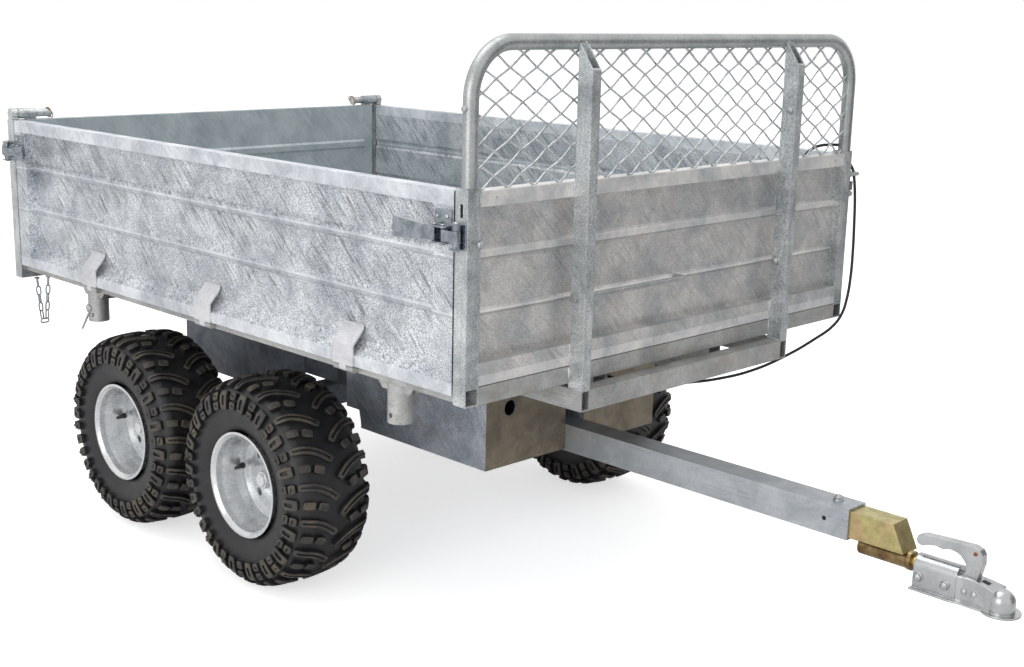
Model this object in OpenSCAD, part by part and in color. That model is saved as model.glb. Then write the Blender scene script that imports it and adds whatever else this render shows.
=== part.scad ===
// Galvanised tandem-axle tipping trailer with drop sides.
// +X points to the coupling, +Y to the trailer's left, +Z up.
// The origin lies on the ground, in the middle of the overall length and width.

/* [Bed] */
// Width over the side boards
bed_w = 1440; // [1300:10:1600]
// Length from the face of the front posts to the back of the rear posts
bed_l = 2045; // [1900:5:2200]
// Height of the bed frame's underside above the ground
bed_z = 671; // [660:1:720]
// Height of the rails and cross members of the bed frame
rail_h = 40; // [34:1:50]
// Wall of the square tubes and channels of the bed
tube_t = 3; // [2:0.5:5]
// Thickness of the folded sheets
sheet_t = 3; // [2:0.5:4]
// Width of the corner posts
post_w = 38; // [32:1:46]
// Height of the corner posts above the frame's underside
post_top = 464; // [420:1:520]
// Number of cross members under the floor
cross_n = 6; // [5:1:7]
// Height of the two lengthwise sills under the bed frame
sill_h = 100; // [80:1:110]
// Distance of each sill's middle from the centre plane
sill_y = 225; // [200:5:240]
// Width of a sill
sill_w = 50; // [40:1:60]

/* [Boards] */
// Depth of the fold that stands out around each board
fold_d = 33; // [26:1:36]
// Height of the rail along the top of each board
top_rail_h = 33; // [28:1:40]
// Height of the boards above the frame's underside
board_top = 458; // [420:1:500]
// Height of the lip's lower edge above the frame's underside
lip_z = 18; // [17:0.5:22]
// Height of the upright part of the lip
lip_h = 25; // [20:1:30]
// Width of the flat strip at each end of a side board
end_strip = 62; // [50:1:80]
// Gap between a moving board and what stands beside it
board_gap = 5; // [5:0.5:8]
// Height of the upper pressed swage
swage_hi = 319; // [300:1:340]
// Height of the lower pressed swage
swage_lo = 195; // [170:1:220]
// Height of a swage's band
swage_h = 18; // [12:1:24]
// Depth of a swage
swage_d = 7; // [4:0.5:10]
// Number of hinges under each side board
hinge_n = 3; // [2:1:4]
// Distance of the first hinge's middle behind the front posts
hinge_first = 410; // [350:5:450]
// Distance from hinge to hinge
hinge_pitch = 585; // [500:5:600]
// Width of a hinge strap
strap_w = 74; // [60:1:90]
// Radius of the hinge knuckles
knuckle_r = 8; // [7:0.5:8.5]
// Radius of the hinge pins
hinge_pin_r = 4.5; // [3.5:0.5:5]

/* [Headboard] */
// Outer radius of the bent tube
bow_r = 17; // [13:0.5:20]
// Height of the bent tube's middle above the frame's underside
bow_z = 759; // [700:1:820]
// Radius of the tube's corner bends at its middle line
bow_bend = 115; // [90:1:140]
// Width of a mesh diamond
cell_w = 79; // [60:1:100]
// Height of a mesh diamond
cell_h = 50; // [40:1:70]
// Thickness of the mesh wire
wire_d = 5; // [4:0.5:7]
// Distance of each upright's middle from the centre plane
upright_y = 386; // [340:2:430]
// Width of an upright across the trailer
upright_w = 28; // [24:1:36]
// Depth of an upright along the trailer
upright_d = 42; // [34:1:50]
// Length of the slanting cut at the top of an upright
upright_cut = 58; // [40:1:70]
// Radius of the rod across the headboard
rod_r = 6; // [5:0.5:8]
// Height of that rod above the frame's underside
rod_z = 199; // [180:1:215]

/* [Chassis] */
// Half the width over the chassis rails
chassis_y = 327; // [310:1:335]
// Height and width of a chassis rail
chassis_tube = 47; // [40:1:52]
// Height of the chassis rails' top above the ground
chassis_z = 511; // [500:1:515]
// Distance of the chassis's rear end behind the front posts
chassis_back = 1702; // [1690:1:1720]
// Distance of the power boxes' front behind the front posts
box_front = 339; // [320:1:360]
// Length of a power box
box_l = 559; // [500:1:580]
// Height of the power boxes' underside above the ground
box_z0 = 357; // [350:1:370]
// Height of the power boxes' top above the ground
box_z1 = 559; // [550:1:562]
// Radius of the hole in the right power box
box_hole_r = 20; // [14:1:24]
// Distance of the tipping hinge behind the front posts
tip_x = 1690; // [1686:1:1694]
// Height of the tipping hinge above the ground
tip_z = 541; // [539:1:543]
// Radius of the tipping hinge's pins
tip_pin_r = 15; // [12:0.5:16]
// Wall of the chassis tubes
chassis_t = 4; // [3:0.5:6]

/* [Drawbar and coupling] */
// Width of the square drawbar
bar_w = 70; // [64:1:76]
// Height of the drawbar
bar_h = 73; // [64:1:76]
// Wall of the drawbar
bar_t = 5; // [4:0.5:6]
// Height of the drawbar's top above the ground
bar_top = 425; // [415:1:430]
// Reach of the drawbar ahead of the front posts
bar_reach = 526; // [450:2:600]
// Length of the insert's top that shows ahead of the drawbar
insert_out = 108; // [90:1:130]
// Slant of the insert's nose
insert_slant = 30; // [20:1:40]
// Radius of the swivel tube under the insert
swivel_r = 20; // [18:0.5:22]
// Length of the swivel tube
swivel_l = 130; // [110:1:150]
// Radius of the swivel shaft
shaft_r = 13; // [11:0.5:15]
// Length of the coupling head
head_l = 236; // [210:1:260]
// Width of the coupling head's body
head_w = 52; // [46:1:58]
// Radius of the ball that the coupling takes
ball_r = 25; // [24.5:0.5:25.5]

/* [Wheels] */
// Radius over the tyre's lugs
tyre_r = 279; // [275:1:279]
// Width of a tyre
tyre_w = 260; // [230:2:270]
// Radius over the rim's flanges
rim_r = 140; // [130:1:150]
// Width between the rim's outer flange faces
rim_w = 216; // [200:2:230]
// Distance of the front axle behind the front posts
axle_front = 840; // [830:1:850]
// Distance between the axles
axle_pitch = 611; // [600:1:620]
// Distance of the wheel discs inboard of the rims' outer faces
disc_in = 95; // [85:1:105]
// Radius of the stub axles
stub_r = 17; // [15:0.5:20]

/* [Tipping cylinder] */
// Distance of the cylinder's foot behind the front posts
foot_x = 1440; // [1430:1:1445]
// Height of the cylinder's foot above the ground
foot_z = 421; // [418:1:424]
// Distance of the rod's eye behind the front posts
eye_x = 890; // [885:1:895]
// Height of the rod's eye above the ground
eye_z = 611; // [608:1:614]
// Outer radius of the barrel
barrel_r = 30; // [26:0.5:32]
// Radius of the rod
piston_r = 15; // [12:0.5:18]

/* [Hidden] */
$fn = 64;

// Colours
zinc = [0.74, 0.76, 0.78];
zinc_dark = [0.45, 0.47, 0.5];
gold = [0.72, 0.62, 0.32];
rubber = [0.09, 0.09, 0.1];
silver = [0.78, 0.78, 0.8];
black = [0.05, 0.05, 0.05];

// Running clearance of a pin in its bore
run = 0.1;
// Play of a cable in its clip
cable_play = 0.3;
// Room between a side's strap and the bed's knuckles and ears
knuckle_play = 3;
// Tyre and wheel places
half_w = bed_w / 2;
rim_y = half_w - rim_w / 2;
axle_z = tyre_r;
disc_t = 5;
disc_y = half_w - disc_in;
stub_end = disc_y - 8;
// Coupling and overall length
insert_wall = bar_t + 0.3;
insert_s = bar_w - 2 * insert_wall;
insert_h = bar_h - 2 * insert_wall;
bar_z = bar_top - bar_h / 2;
insert_z0 = bar_z - insert_h / 2;
weld_sink = 2;
swivel_z = insert_z0 - swivel_r + weld_sink;
swivel_x = bar_reach + 19;
collar_l = 10;
shaft_out = 13;
head_x = swivel_x + swivel_l + shaft_out;
head_z0 = swivel_z - 52;
nose_x = head_x + head_l;
// Six-sided plates of the rear catches, behind the tail
catch_back = 32;
front_x = (bed_l + catch_back - nose_x) / 2;
// Hinge of the side boards
knuckle_y = half_w - knuckle_r + 4;
knuckle_z = lip_z - 1 - knuckle_r;
knuckle_l = 24;
rail_out = knuckle_y - knuckle_r - 2;
strap_t = 4;
side_rail_w = 40;
// Board places
board_x0 = post_w + board_gap;
board_x1 = bed_l - post_w - board_gap;
panel_y = half_w - fold_d;
floor_t = 3;
floor_top = rail_h + floor_t;
rear_beam_z0 = -25;
rear_beam_z1 = 55;
// Tailgate
gate_t = 35;
gate_y = half_w - post_w - board_gap - 2;
gate_z0 = rear_beam_z1 + board_gap;
gate_pin_r = 12;
gate_sleeve_r = 16;
gate_pin_x = bed_l - post_w / 2;
gate_post_top = post_top - 6;
gate_pin_z = gate_post_top + gate_sleeve_r + 3;
gate_pin_l = 125;
gate_lug_l = 20;
gate_sleeve_l = 56;
// Headboard
bow_x = -post_w / 2 + 4;
bow_y = half_w - bow_r - 1;
wall_rail_gap = 2;
wall_rail_h = 50;
wall_rail_z = [rail_h + wall_rail_gap, rail_h + wall_rail_gap + wall_rail_h];
wall_groove_h = 4;
post_slot = [8, 28];
post_slot_down = 32;
rod_end = -20;
rod_bend = 14;
rod_nut_r = 11;
rod_nut_h = 8;
// A tight seat between two pieces of one body
seat = 0.3;
arm_z0 = -60;
arm_z1 = -11;
leg_bar_x = 281;
leg_from_rear = 394;
leg_rear_x = bed_l - leg_from_rear;
leg_bar_h = 40;
leg_r = 30;
leg_bore_r = 26;
leg_y = half_w - 62;
leg_drop = 104;
leg_hole_r = 6;
leg_hole_z = 20;
gusset_h = 30;
gusset_l = 34;
gusset_y = 12;
// Chassis
tip_ear_gap = 10;
bogie_x = axle_front + axle_pitch / 2;
bogie_z = 370;
bogie_box = 64;
beam_t = 50;
beam_gap = 27;
beam_y0 = rim_y - tyre_w / 2 - beam_gap - beam_t;
stub_start = beam_y0 + beam_t / 2;
axle_rear = axle_front + axle_pitch;
plate_t = 4;
// Cylinder line
cyl_l = norm([foot_x - eye_x, eye_z - foot_z]);
cyl_a = atan2(eye_z - foot_z, foot_x - eye_x);
rod_show = 120;
barrel_l = cyl_l - rod_show;
eye_r = 20;
eye_w = 40;
ear_t = 8;
ear_gap = 3;
// Latches
latch_z = 366;
latch_h = 50;
latch_t = 3;
latch_l = 52;
latch_ear_z = 18;
latch_out = 26;
latch_pin_r = 4;
claw_h = 24;
lever_l = 112;
lever_w = 44;
lever_neck = 26;
roller_r = 9;
roller_y = 14;
roller_from_latch = board_x0 + latch_t - post_w / 2;
claw_y = roller_y + roller_r + 2 * seat;
// Chains at the tail
link_w = 16;
link_l = 30;
link_t = 4;
link_pitch = 26;
link_n = 5;
strand_gap = 38;
// Tread of the tyres, two rows of lugs a side
lug_h = 13;
lug_n = 18;
crown_y = 78;
carcass_r = tyre_r - lug_h;
// Hub and coupling head
hub_r = 34;
hub_washer_r = 30;
hub_nut_r = 25;
hand_hole_r = 11;
hand_hole_n = 4;
head_t = 4;
sleeve_r = 24;
sleeve_l = 100;
flange_r = 42;
dome_r = 29;
dome_z = 24;
crease_x = 112;
nose_end = 150;
nose_arch_r = 40;
// Cable
cable_d = 8;
gland_l = 10;
gland_at = [120, 531];
cable_route = [
    [-58, 560, 1070], [-58, 560, 1078], [-58, 560, 1088], [-57, 566, 1110], [-51, 588, 1138], [-45, 630, 1150], [-40, 675, 1150],
    [-38, 700, 1149], [-37, 712, 1147], [-35, 723, 1140], [-32, 730, 1130], [-27, 733, 1118],
    [-16, 735, 1100], [-4, 735, 1084], [1, 735, 1072], [3, 735, 1060], [5, 736, 1045], [8, 738, 1010],
    [9, 744, 930], [9, 748, 860], [10, 745, 780], [10, 734, 720], [10, 714, 680], [2, 686, 648],
    [-24, 636, 612], [-60, 565, 572], [-105, 460, 535], [-150, 372, 518], [-190, 300, 512],
    [-228, 232, 512], [-258, 178, 517], [-281, 142, 524], [-299, 125, 529], [-314, 120, 531],
    [-328.7, 120, 531]];

// Moves from the bed's corner planes to the trailer's frame: x counts from the
// front posts' face, y from the centre plane and z from the bed frame's underside.
module bed_space() translate([front_x, 0, bed_z]) children();
// The same, with z from the ground
module ground_space() translate([front_x, 0, 0]) children();
module both_sides() { children(); mirror([0, 1, 0]) children(); }

// Box from its low corner to its high corner
module span(a, b) translate(a) cube(b - a);
// Square tubes along the axes, from corner to corner with wall t
module tube_x(a, b, t) difference() {
    span(a, b);
    span(a + [-1, t, t], b + [1, -t, -t]);
}
module tube_y(a, b, t) difference() {
    span(a, b);
    span(a + [t, -1, t], b + [-t, 1, -t]);
}
module tube_z(a, b, t) difference() {
    span(a, b);
    span(a + [t, t, -1], b + [-t, -t, 1]);
}
// Cylinders along Y and X, centred on their length
module rod_y(r, l) rotate([90, 0, 0]) cylinder(r = r, h = l, center = true);
module rod_x(r, l) rotate([0, 90, 0]) cylinder(r = r, h = l, center = true);
// Extrusion along Y of an outline drawn in X and Z, from y0 to y1
module plate_y(points, y0, y1) translate([0, y1, 0]) rotate([90, 0, 0])
    linear_extrude(y1 - y0) polygon(points);
// Extrusion along X of an outline drawn in Y and Z, from x0 to x1
module plate_x(points, x0, x1) translate([x0, 0, 0]) rotate([90, 0, 90])
    linear_extrude(x1 - x0) polygon(points);

// Line of a swaged sheet: [depth, height] points from z0 to z1
function swage(z, h) = [[0, z - h / 2 - swage_d], [swage_d, z - h / 2],
    [swage_d, z + h / 2], [0, z + h / 2 + swage_d]];
function sheet_line(z0, z1, low_h) = concat([[0, z0]], swage(swage_lo, low_h), swage(swage_hi, swage_h), [[0, z1]]);
// Closed outline of a sheet of thickness t along that line, at depth y
function sheet_outline(y, z0, z1, t, low_h = swage_h) = let (line = sheet_line(z0, z1, low_h), n = len(line)) concat(
    [for (p = line) [y + p[0], p[1]]],
    [for (i = [n - 1:-1:0]) [y + line[i][0] - t, line[i][1]]]);

module bed_frame() color(zinc) bed_space() {
    both_sides() tube_x([-bed_l + post_w, rail_out - side_rail_w, 0], [-post_w, rail_out, rail_h], tube_t);
    inner = rail_out - side_rail_w;
    front_rail();
    for (i = [1:cross_n]) {
        x = -bed_l * i / (cross_n + 1);
        difference() {
            span([x - rail_h / 2, -inner, 0], [x + rail_h / 2, inner, rail_h]);
            span([x - rail_h, -inner - 1, tube_t], [x + rail_h / 2 - tube_t, inner + 1, rail_h - tube_t]);
        }
    }
    both_sides() for (i = [0:hinge_n - 1]) bed_knuckles(-hinge_first - i * hinge_pitch);
}
// Front cross member: a channel with its web to the front
module front_rail() {
    y = half_w - post_w;
    difference() {
        span([-post_w, -y, 0], [0, y, rail_h]);
        span([-post_w - 1, -y - 1, tube_t], [-tube_t, y + 1, rail_h - tube_t]);
    }
    tube_y([-bed_l, -y, rear_beam_z0], [-bed_l + post_w, y, rear_beam_z1], tube_t);
}
// The bed's half of a side hinge: two knuckles, their pin and the ears that carry them
module bed_knuckles(x) {
    for (s = [-1, 1]) translate([x + s * knuckle_l, 0, 0]) {
        translate([0, knuckle_y, knuckle_z]) rod_x(knuckle_r, knuckle_l - 1);
        span([-knuckle_l / 2 + 0.5, rail_out, knuckle_z - knuckle_r],
            [knuckle_l / 2 - 0.5, knuckle_y, knuckle_z]);
    }
    translate([x, knuckle_y, knuckle_z]) rod_x(hinge_pin_r, 3 * knuckle_l);
}

module bed_sills() color(zinc_dark) bed_space() both_sides() {
    y0 = sill_y - sill_w / 2;
    tube_x([-tip_x - 60, y0, -sill_h], [-60, y0 + sill_w, 0], tube_t);
    translate([-tip_x, sill_y, tip_z - bed_z]) difference() {
        union() {
            rod_y(tip_pin_r + 8, sill_w + 14);
            span([-tip_pin_r - 8, -sill_w / 2, 0], [tip_pin_r + 8, sill_w / 2, bed_z - tip_z - sill_h]);
        }
        rod_y(tip_pin_r + run, sill_w + 20);
    }
    // Ear that holds the rod's eye, and the tie that carries it
    ear_y = eye_w / 2 + ear_gap;
    plate_y([[-eye_x - 30, 0], [-eye_x + 30, 0], [-eye_x + 22, eye_z - bed_z - 22],
        [-eye_x - 22, eye_z - bed_z - 22]], ear_y, ear_y + ear_t);
    span([-eye_x - 30, ear_y + ear_t, -12], [-eye_x + 30, y0, 0]);
}

module bed_floor() color(zinc) bed_space()
    span([-bed_l + post_w, -rail_out + 4, rail_h], [-post_w, rail_out - 4, floor_top]);

module front_wall() color(zinc) bed_space() {
    y = half_w - post_w;
    tube_y([-post_w, -y, board_top - top_rail_h], [0, y, board_top], tube_t);
    tube_y([-post_w, -y, wall_rail_z[0]], [0, y, wall_rail_z[1]], tube_t);
    translate([-fold_d, 0, 0]) plate_y(
        sheet_outline(sheet_t, wall_rail_z[1], board_top - top_rail_h, sheet_t, wall_groove_h), -y, y);
}

module corner_posts() color(zinc) bed_space() both_sides() {
    y = half_w - post_w;
    difference() {
        tube_z([-post_w, y, rail_h], [0, half_w, post_top], tube_t);
        translate([-post_w / 2, half_w - tube_t, post_top - post_slot_down - post_slot[1]])
            span([-post_slot[0] / 2, -1, 0], [post_slot[0] / 2, tube_t + 1, post_slot[1]]);
    }
    tube_x([-post_w, y, 0], [0, half_w, rail_h], tube_t);
    tube_z([-bed_l, y, rear_beam_z0], [-bed_l + post_w, half_w, gate_post_top], tube_t);
}

module headboard_bow() color(zinc) bed_space() translate([bow_x, 0, 0]) {
    span_y = bow_y - bow_bend;
    both_sides() {
        translate([0, bow_y, post_top]) cylinder(r = bow_r, h = bow_z - bow_bend - post_top);
        translate([0, span_y, bow_z - bow_bend]) rotate([90, 0, 90])
            rotate_extrude(angle = 90) translate([bow_bend, 0]) circle(r = bow_r);
    }
    translate([0, 0, bow_z]) rod_y(bow_r, 2 * span_y);
}

// Diamond mesh, flat, in the window between the bow and the wall's top rail
module headboard_mesh() color(silver) bed_space() translate([bow_x + wire_d / 2, 0, 0]) {
    w = half_w - post_w;
    z0 = board_top;
    z1 = bow_z - bow_r;
    nx = ceil(w / cell_w) + 1;
    nz = ceil((z1 - z0) / cell_h) + 1;
    hx = cell_w / 2 - wire_d * 0.95;
    hz = cell_h / 2 - wire_d * 0.6;
    corner = bow_bend - bow_r;
    rotate([90, 0, -90]) linear_extrude(wire_d) difference() {
        union() {
            translate([-w, z0]) square([2 * w, z1 - z0 - corner]);
            translate([-w + corner, z0]) square([2 * (w - corner), z1 - z0]);
            for (s = [-1, 1]) translate([s * (w - corner), z1 - corner]) circle(r = corner);
        }
        for (i = [-nx:nx], j = [0:nz], half = [0, 1])
            translate([(i + half / 2) * cell_w, z0 + (j + half / 2) * cell_h])
                polygon([[-hx, 0], [0, -hz], [hx, 0], [0, hz]]);
    }
}

module uprights() color(zinc) bed_space() both_sides() difference() {
    top = bow_z;
    y0 = upright_y - upright_w / 2;
    plate_y([[0, arm_z1], [upright_d, arm_z1], [upright_d, top - upright_cut], [0, top]], y0, y0 + upright_w);
    plate_y([[tube_t, arm_z1 - 1], [upright_d - tube_t, arm_z1 - 1], [upright_d - tube_t, top + 1],
        [tube_t, top + 1]], y0 + tube_t, y0 + upright_w - tube_t);
    translate([bow_x, upright_y, bow_z]) rod_y(bow_r + run, upright_w + 2);
    translate([rod_r + 6, upright_y, rod_z]) rod_y(rod_r + run, upright_w + 2);
}

module outrigger() color(zinc) bed_space() {
    y0 = upright_y - upright_w / 2;
    both_sides() tube_x([-leg_bar_x + leg_bar_h / 2, y0, arm_z0], [upright_d, y0 + upright_w, arm_z1], tube_t);
    tube_y([upright_d - 40, -y0, arm_z0], [upright_d, y0, arm_z1], tube_t);
}

// Bent rod: held by the right upright, it turns back to the front wall; the left upright keeps its catch nut
module cross_rod() color(silver) bed_space() {
    y0 = -upright_y - upright_w / 2 - rod_nut_h;
    x = rod_r + 6;
    wall_x = -fold_d + sheet_t + swage_d + seat;
    translate([x, (y0 + rod_end) / 2, rod_z]) rod_y(rod_r, rod_end - y0);
    translate([x - rod_bend, rod_end, rod_z]) rotate_extrude(angle = 90) translate([rod_bend, 0]) circle(r = rod_r);
    translate([(wall_x + x - rod_bend) / 2, rod_end + rod_bend, rod_z]) rod_x(rod_r, x - rod_bend - wall_x);
    for (y = [-upright_y - upright_w / 2 - seat, -upright_y + upright_w / 2 + rod_nut_h + seat])
        translate([x, y, rod_z]) rotate([90, 0, 0]) cylinder(r = rod_nut_r, h = rod_nut_h, $fn = 6);
}

module leg_sockets() color(zinc) bed_space() for (x = [-leg_bar_x, -leg_rear_x]) {
    both_sides() tube_y([x - leg_bar_h / 2, sill_y + sill_w / 2, -leg_bar_h],
        [x + leg_bar_h / 2, leg_y - leg_r + 4, 0], tube_t);
    both_sides() translate([x, leg_y, -leg_drop]) difference() {
        union() {
            cylinder(r = leg_r, h = leg_drop);
            // Gussets before and behind the socket
            for (s = [-1, 1]) plate_y([[0, leg_drop - gusset_h], [s * (leg_r + gusset_l / 2), leg_drop - gusset_h],
                [s * (leg_r + gusset_l), leg_drop - gusset_h / 3], [s * (leg_r + gusset_l), leg_drop], [0, leg_drop]],
                gusset_y, gusset_y + tube_t);
        }
        translate([0, 0, -1]) cylinder(r = leg_bore_r, h = leg_drop - 3);
        translate([0, leg_r, leg_hole_z]) rod_y(leg_hole_r, leg_r);
    }
}

module tailgate_pins() color(zinc) bed_space() both_sides() {
    // Lug on the post, the pin and its clip ring
    translate([-gate_pin_x, half_w - gate_lug_l / 2, gate_pin_z]) rod_y(gate_sleeve_r, gate_lug_l);
    span([-gate_pin_x - 12, half_w - gate_lug_l, gate_post_top], [-gate_pin_x + 12, half_w, gate_pin_z]);
    translate([-gate_pin_x, half_w - 1 - gate_pin_l / 2, gate_pin_z]) rod_y(gate_pin_r, gate_pin_l);
    translate([-gate_pin_x, half_w - gate_pin_l - 1, gate_pin_z]) rod_y(gate_pin_r + 4, 4);
}

// Catch of a side latch: base plate, two ears and an upright roller with its collars
module latch_catches() color(silver) bed_space() both_sides() {
    z = latch_h / 2;
    for (x = [-post_w / 2, -bed_l + post_w / 2]) translate([x, half_w, latch_z]) {
        span([-post_w / 2 + 2, 0, -z - latch_t], [post_w / 2 - 2, latch_t, z + latch_t]);
        for (ear_z = [-z - latch_t, z]) translate([0, 0, ear_z]) linear_extrude(latch_t)
            polygon([[-post_w / 2 + 4, latch_t], [post_w / 2 - 4, latch_t], [roller_r + 2, roller_y + roller_r + 2],
                [-roller_r - 2, roller_y + roller_r + 2]]);
        translate([0, roller_y, -z]) cylinder(r = roller_r, h = latch_h);
    }
    // Six-sided plate at the tail
    translate([-bed_l, half_w, latch_z]) plate_y([[latch_t * 3, -z], [-catch_back / 2, -z], [-catch_back, -z / 2],
        [-catch_back, z / 2], [-catch_back / 2, z], [latch_t * 3, z]], latch_t, 2 * latch_t);
}

// A chain that hangs doubled from the rear of the frame: two strands that lean to one bottom link
module hanging_chains() color(silver) bed_space() both_sides()
    translate([-bed_l + post_w + link_w, half_w - 60, rear_beam_z0]) {
        lean = atan2(strand_gap / 2 - link_w / 2, link_n * link_pitch);
        for (s = [-1, 1]) translate([0, s * strand_gap / 2, 0]) {
            span([-link_w - 6, -link_t, -link_t], [link_w, link_t, 0]);
            rotate([-s * lean, 0, 0]) for (i = [0:link_n - 1])
                translate([0, 0, -(link_l + link_t) / 2 - i * link_pitch]) rotate([0, 0, i % 2 * 90]) chain_link();
        }
        translate([0, 0, -link_n * link_pitch - link_w / 2 - link_t / 2]) rotate([90, 0, 0]) rotate([0, 0, 90]) chain_link();
    }
module chain_link() rotate([90, 0, 0]) linear_extrude(link_t, center = true) difference() {
    oval(link_w, link_l - link_w);
    oval(link_w - 2 * link_t, link_l - link_w);
}
module oval(w, l) union() {
    square([w, l], center = true);
    for (s = [-1, 1]) translate([0, s * l / 2]) circle(d = w, $fn = 32);
}

// Right and left boards are mirror images
module side_board() {
    y = half_w;
    top0 = board_top - top_rail_h;
    slope_z = lip_z + lip_h;
    // Lip, slope and swaged panel
    plate_x([[y, lip_z], [y, slope_z], [panel_y, slope_z + fold_d], [panel_y - sheet_t, slope_z + fold_d],
        [y - sheet_t, slope_z - 1], [y - sheet_t, lip_z]], -board_x1, -board_x0);
    plate_x(sheet_outline(panel_y, slope_z + fold_d, top0 + 1, sheet_t), -board_x1, -board_x0);
    // Top rail
    tube_x([-board_x1, panel_y - sheet_t, top0], [-board_x0, y, board_top], sheet_t);
    // Flat strips at the ends, with the folds that return to the panel
    for (x = [-board_x0 - end_strip, -board_x1]) {
        span([x, y - sheet_t, slope_z], [x + end_strip, y, top0]);
    }
    for (x = [-board_x0 - end_strip, -board_x1 + end_strip - sheet_t])
        plate_x([[y, slope_z], [y, top0], [panel_y, top0], [panel_y, slope_z + fold_d]], x, x + sheet_t);
}
module side_board_left() color(zinc) bed_space() side_board();
module side_board_right() color(zinc) bed_space() mirror([0, 1, 0]) side_board();

// Straps that brace the fold and end in the board's knuckle
module side_straps() for (i = [0:hinge_n - 1]) translate([-hinge_first - i * hinge_pitch, 0, 0]) {
    y = half_w;
    z = lip_z + lip_h;
    difference() {
        plate_x([[y, knuckle_z], [y, z + 22], [panel_y + strap_t, z + 22 + fold_d], [panel_y, z + 26 + fold_d + 10],
            [panel_y + strap_t, z + 26 + fold_d + 10], [panel_y + strap_t, z + 28 + fold_d],
            [y + strap_t, z + 24], [y + strap_t, knuckle_z]], -strap_w / 2, strap_w / 2);
        for (s = [-1, 1]) translate([s * (knuckle_l + 2), knuckle_y, knuckle_z])
            rod_x(knuckle_r + knuckle_play, knuckle_l + 4);
        translate([0, knuckle_y, knuckle_z]) rod_x(hinge_pin_r + run, knuckle_l + 2);
    }
    difference() {
        translate([0, knuckle_y, knuckle_z]) rod_x(knuckle_r, knuckle_l - 1);
        translate([0, knuckle_y, knuckle_z]) rod_x(hinge_pin_r + run, knuckle_l + 2);
    }
}
module side_straps_left() color(zinc) bed_space() side_straps();
module side_straps_right() color(zinc) bed_space() mirror([0, 1, 0]) side_straps();

// Toggle latch: base plate, ears with their pins, claw round the post's roller, and a lever away from the post
module latch(lever) {
    z = latch_ear_z;
    span([0, 0, -z], [latch_l, latch_t, latch_h]);
    for (ear_z = [-z, z - latch_t]) translate([0, 0, ear_z]) linear_extrude(latch_t)
        polygon([[0, latch_t], [latch_l, latch_t], [latch_l, latch_out / 2], [latch_l * 0.7, latch_out],
            [latch_l * 0.15, latch_out], [0, latch_out * 0.7]]);
    for (x = [0.25, 0.75]) translate([x * latch_l, latch_out * 0.55, -z - 2]) cylinder(r = latch_pin_r, h = 2 * z + 4);
    // Claw: from the front pin outside the roller and down in front of it
    tip = -roller_from_latch - roller_r - 4 * seat;
    translate([0, 0, -claw_h / 2]) linear_extrude(claw_h) polygon([[latch_l * 0.35, latch_out * 0.4],
        [latch_l * 0.35, claw_y - 6], [6, claw_y + latch_t], [tip, claw_y + latch_t], [tip - latch_t, claw_y],
        [tip - latch_t, roller_y], [tip, roller_y], [tip, claw_y], [4, claw_y], [latch_l * 0.2, latch_out * 0.4]]);
    // Lever on the rear pin, wider at its free end, with two pressed ribs
    end = latch_l + lever;
    y = latch_out * 0.8;
    plate_y([[latch_l * 0.6, -lever_neck / 2], [end, -lever_w / 2], [end, lever_w / 2],
        [latch_l * 0.6, lever_neck / 2]], y, y + latch_t);
    span([latch_l * 0.65, latch_t, -lever_neck / 2], [latch_l * 0.85, y, lever_neck / 2]);
    for (s = [-1, 1]) span([end - 0.4 * lever, y + latch_t - 1, s * lever_w / 4 - 4],
        [end - 0.1 * lever, y + latch_t + 2, s * lever_w / 4 + 4]);
}
module side_latches() {
    translate([-board_x0 - latch_t, half_w, latch_z]) mirror([1, 0, 0]) latch(lever_l);
    translate([-board_x1 + latch_t, half_w, latch_z]) latch(lever_l * 0.3);
}
module side_latches_left() color(silver) bed_space() side_latches();
module side_latches_right() color(silver) bed_space() mirror([0, 1, 0]) side_latches();

module tailgate() color(zinc) bed_space() {
    y = gate_y;
    x0 = -bed_l;
    x1 = -bed_l + gate_t;
    tube_y([x0, -y, board_top - top_rail_h], [x1, y, board_top], sheet_t);
    tube_y([x0, -y, gate_z0], [x1, y, gate_z0 + 40], sheet_t);
    both_sides() tube_z([x0, y - 40, gate_z0 + 40], [x1, y, board_top - top_rail_h], sheet_t);
    translate([x1, 0, 0]) plate_y(sheet_outline(0, gate_z0 + 40, board_top - top_rail_h, sheet_t), -y + 40, y - 40);
}
module tailgate_sleeves() color(zinc) bed_space() both_sides()
    translate([-gate_pin_x, half_w - gate_lug_l - 4 - gate_sleeve_l / 2, gate_pin_z]) difference() {
        union() {
            rod_y(gate_sleeve_r, gate_sleeve_l);
            span([-8, -gate_sleeve_l / 2, board_top - gate_pin_z], [8, gate_sleeve_l / 2 - 25, 0]);
        }
        rod_y(gate_pin_r + run, gate_sleeve_l + 2);
    }

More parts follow.
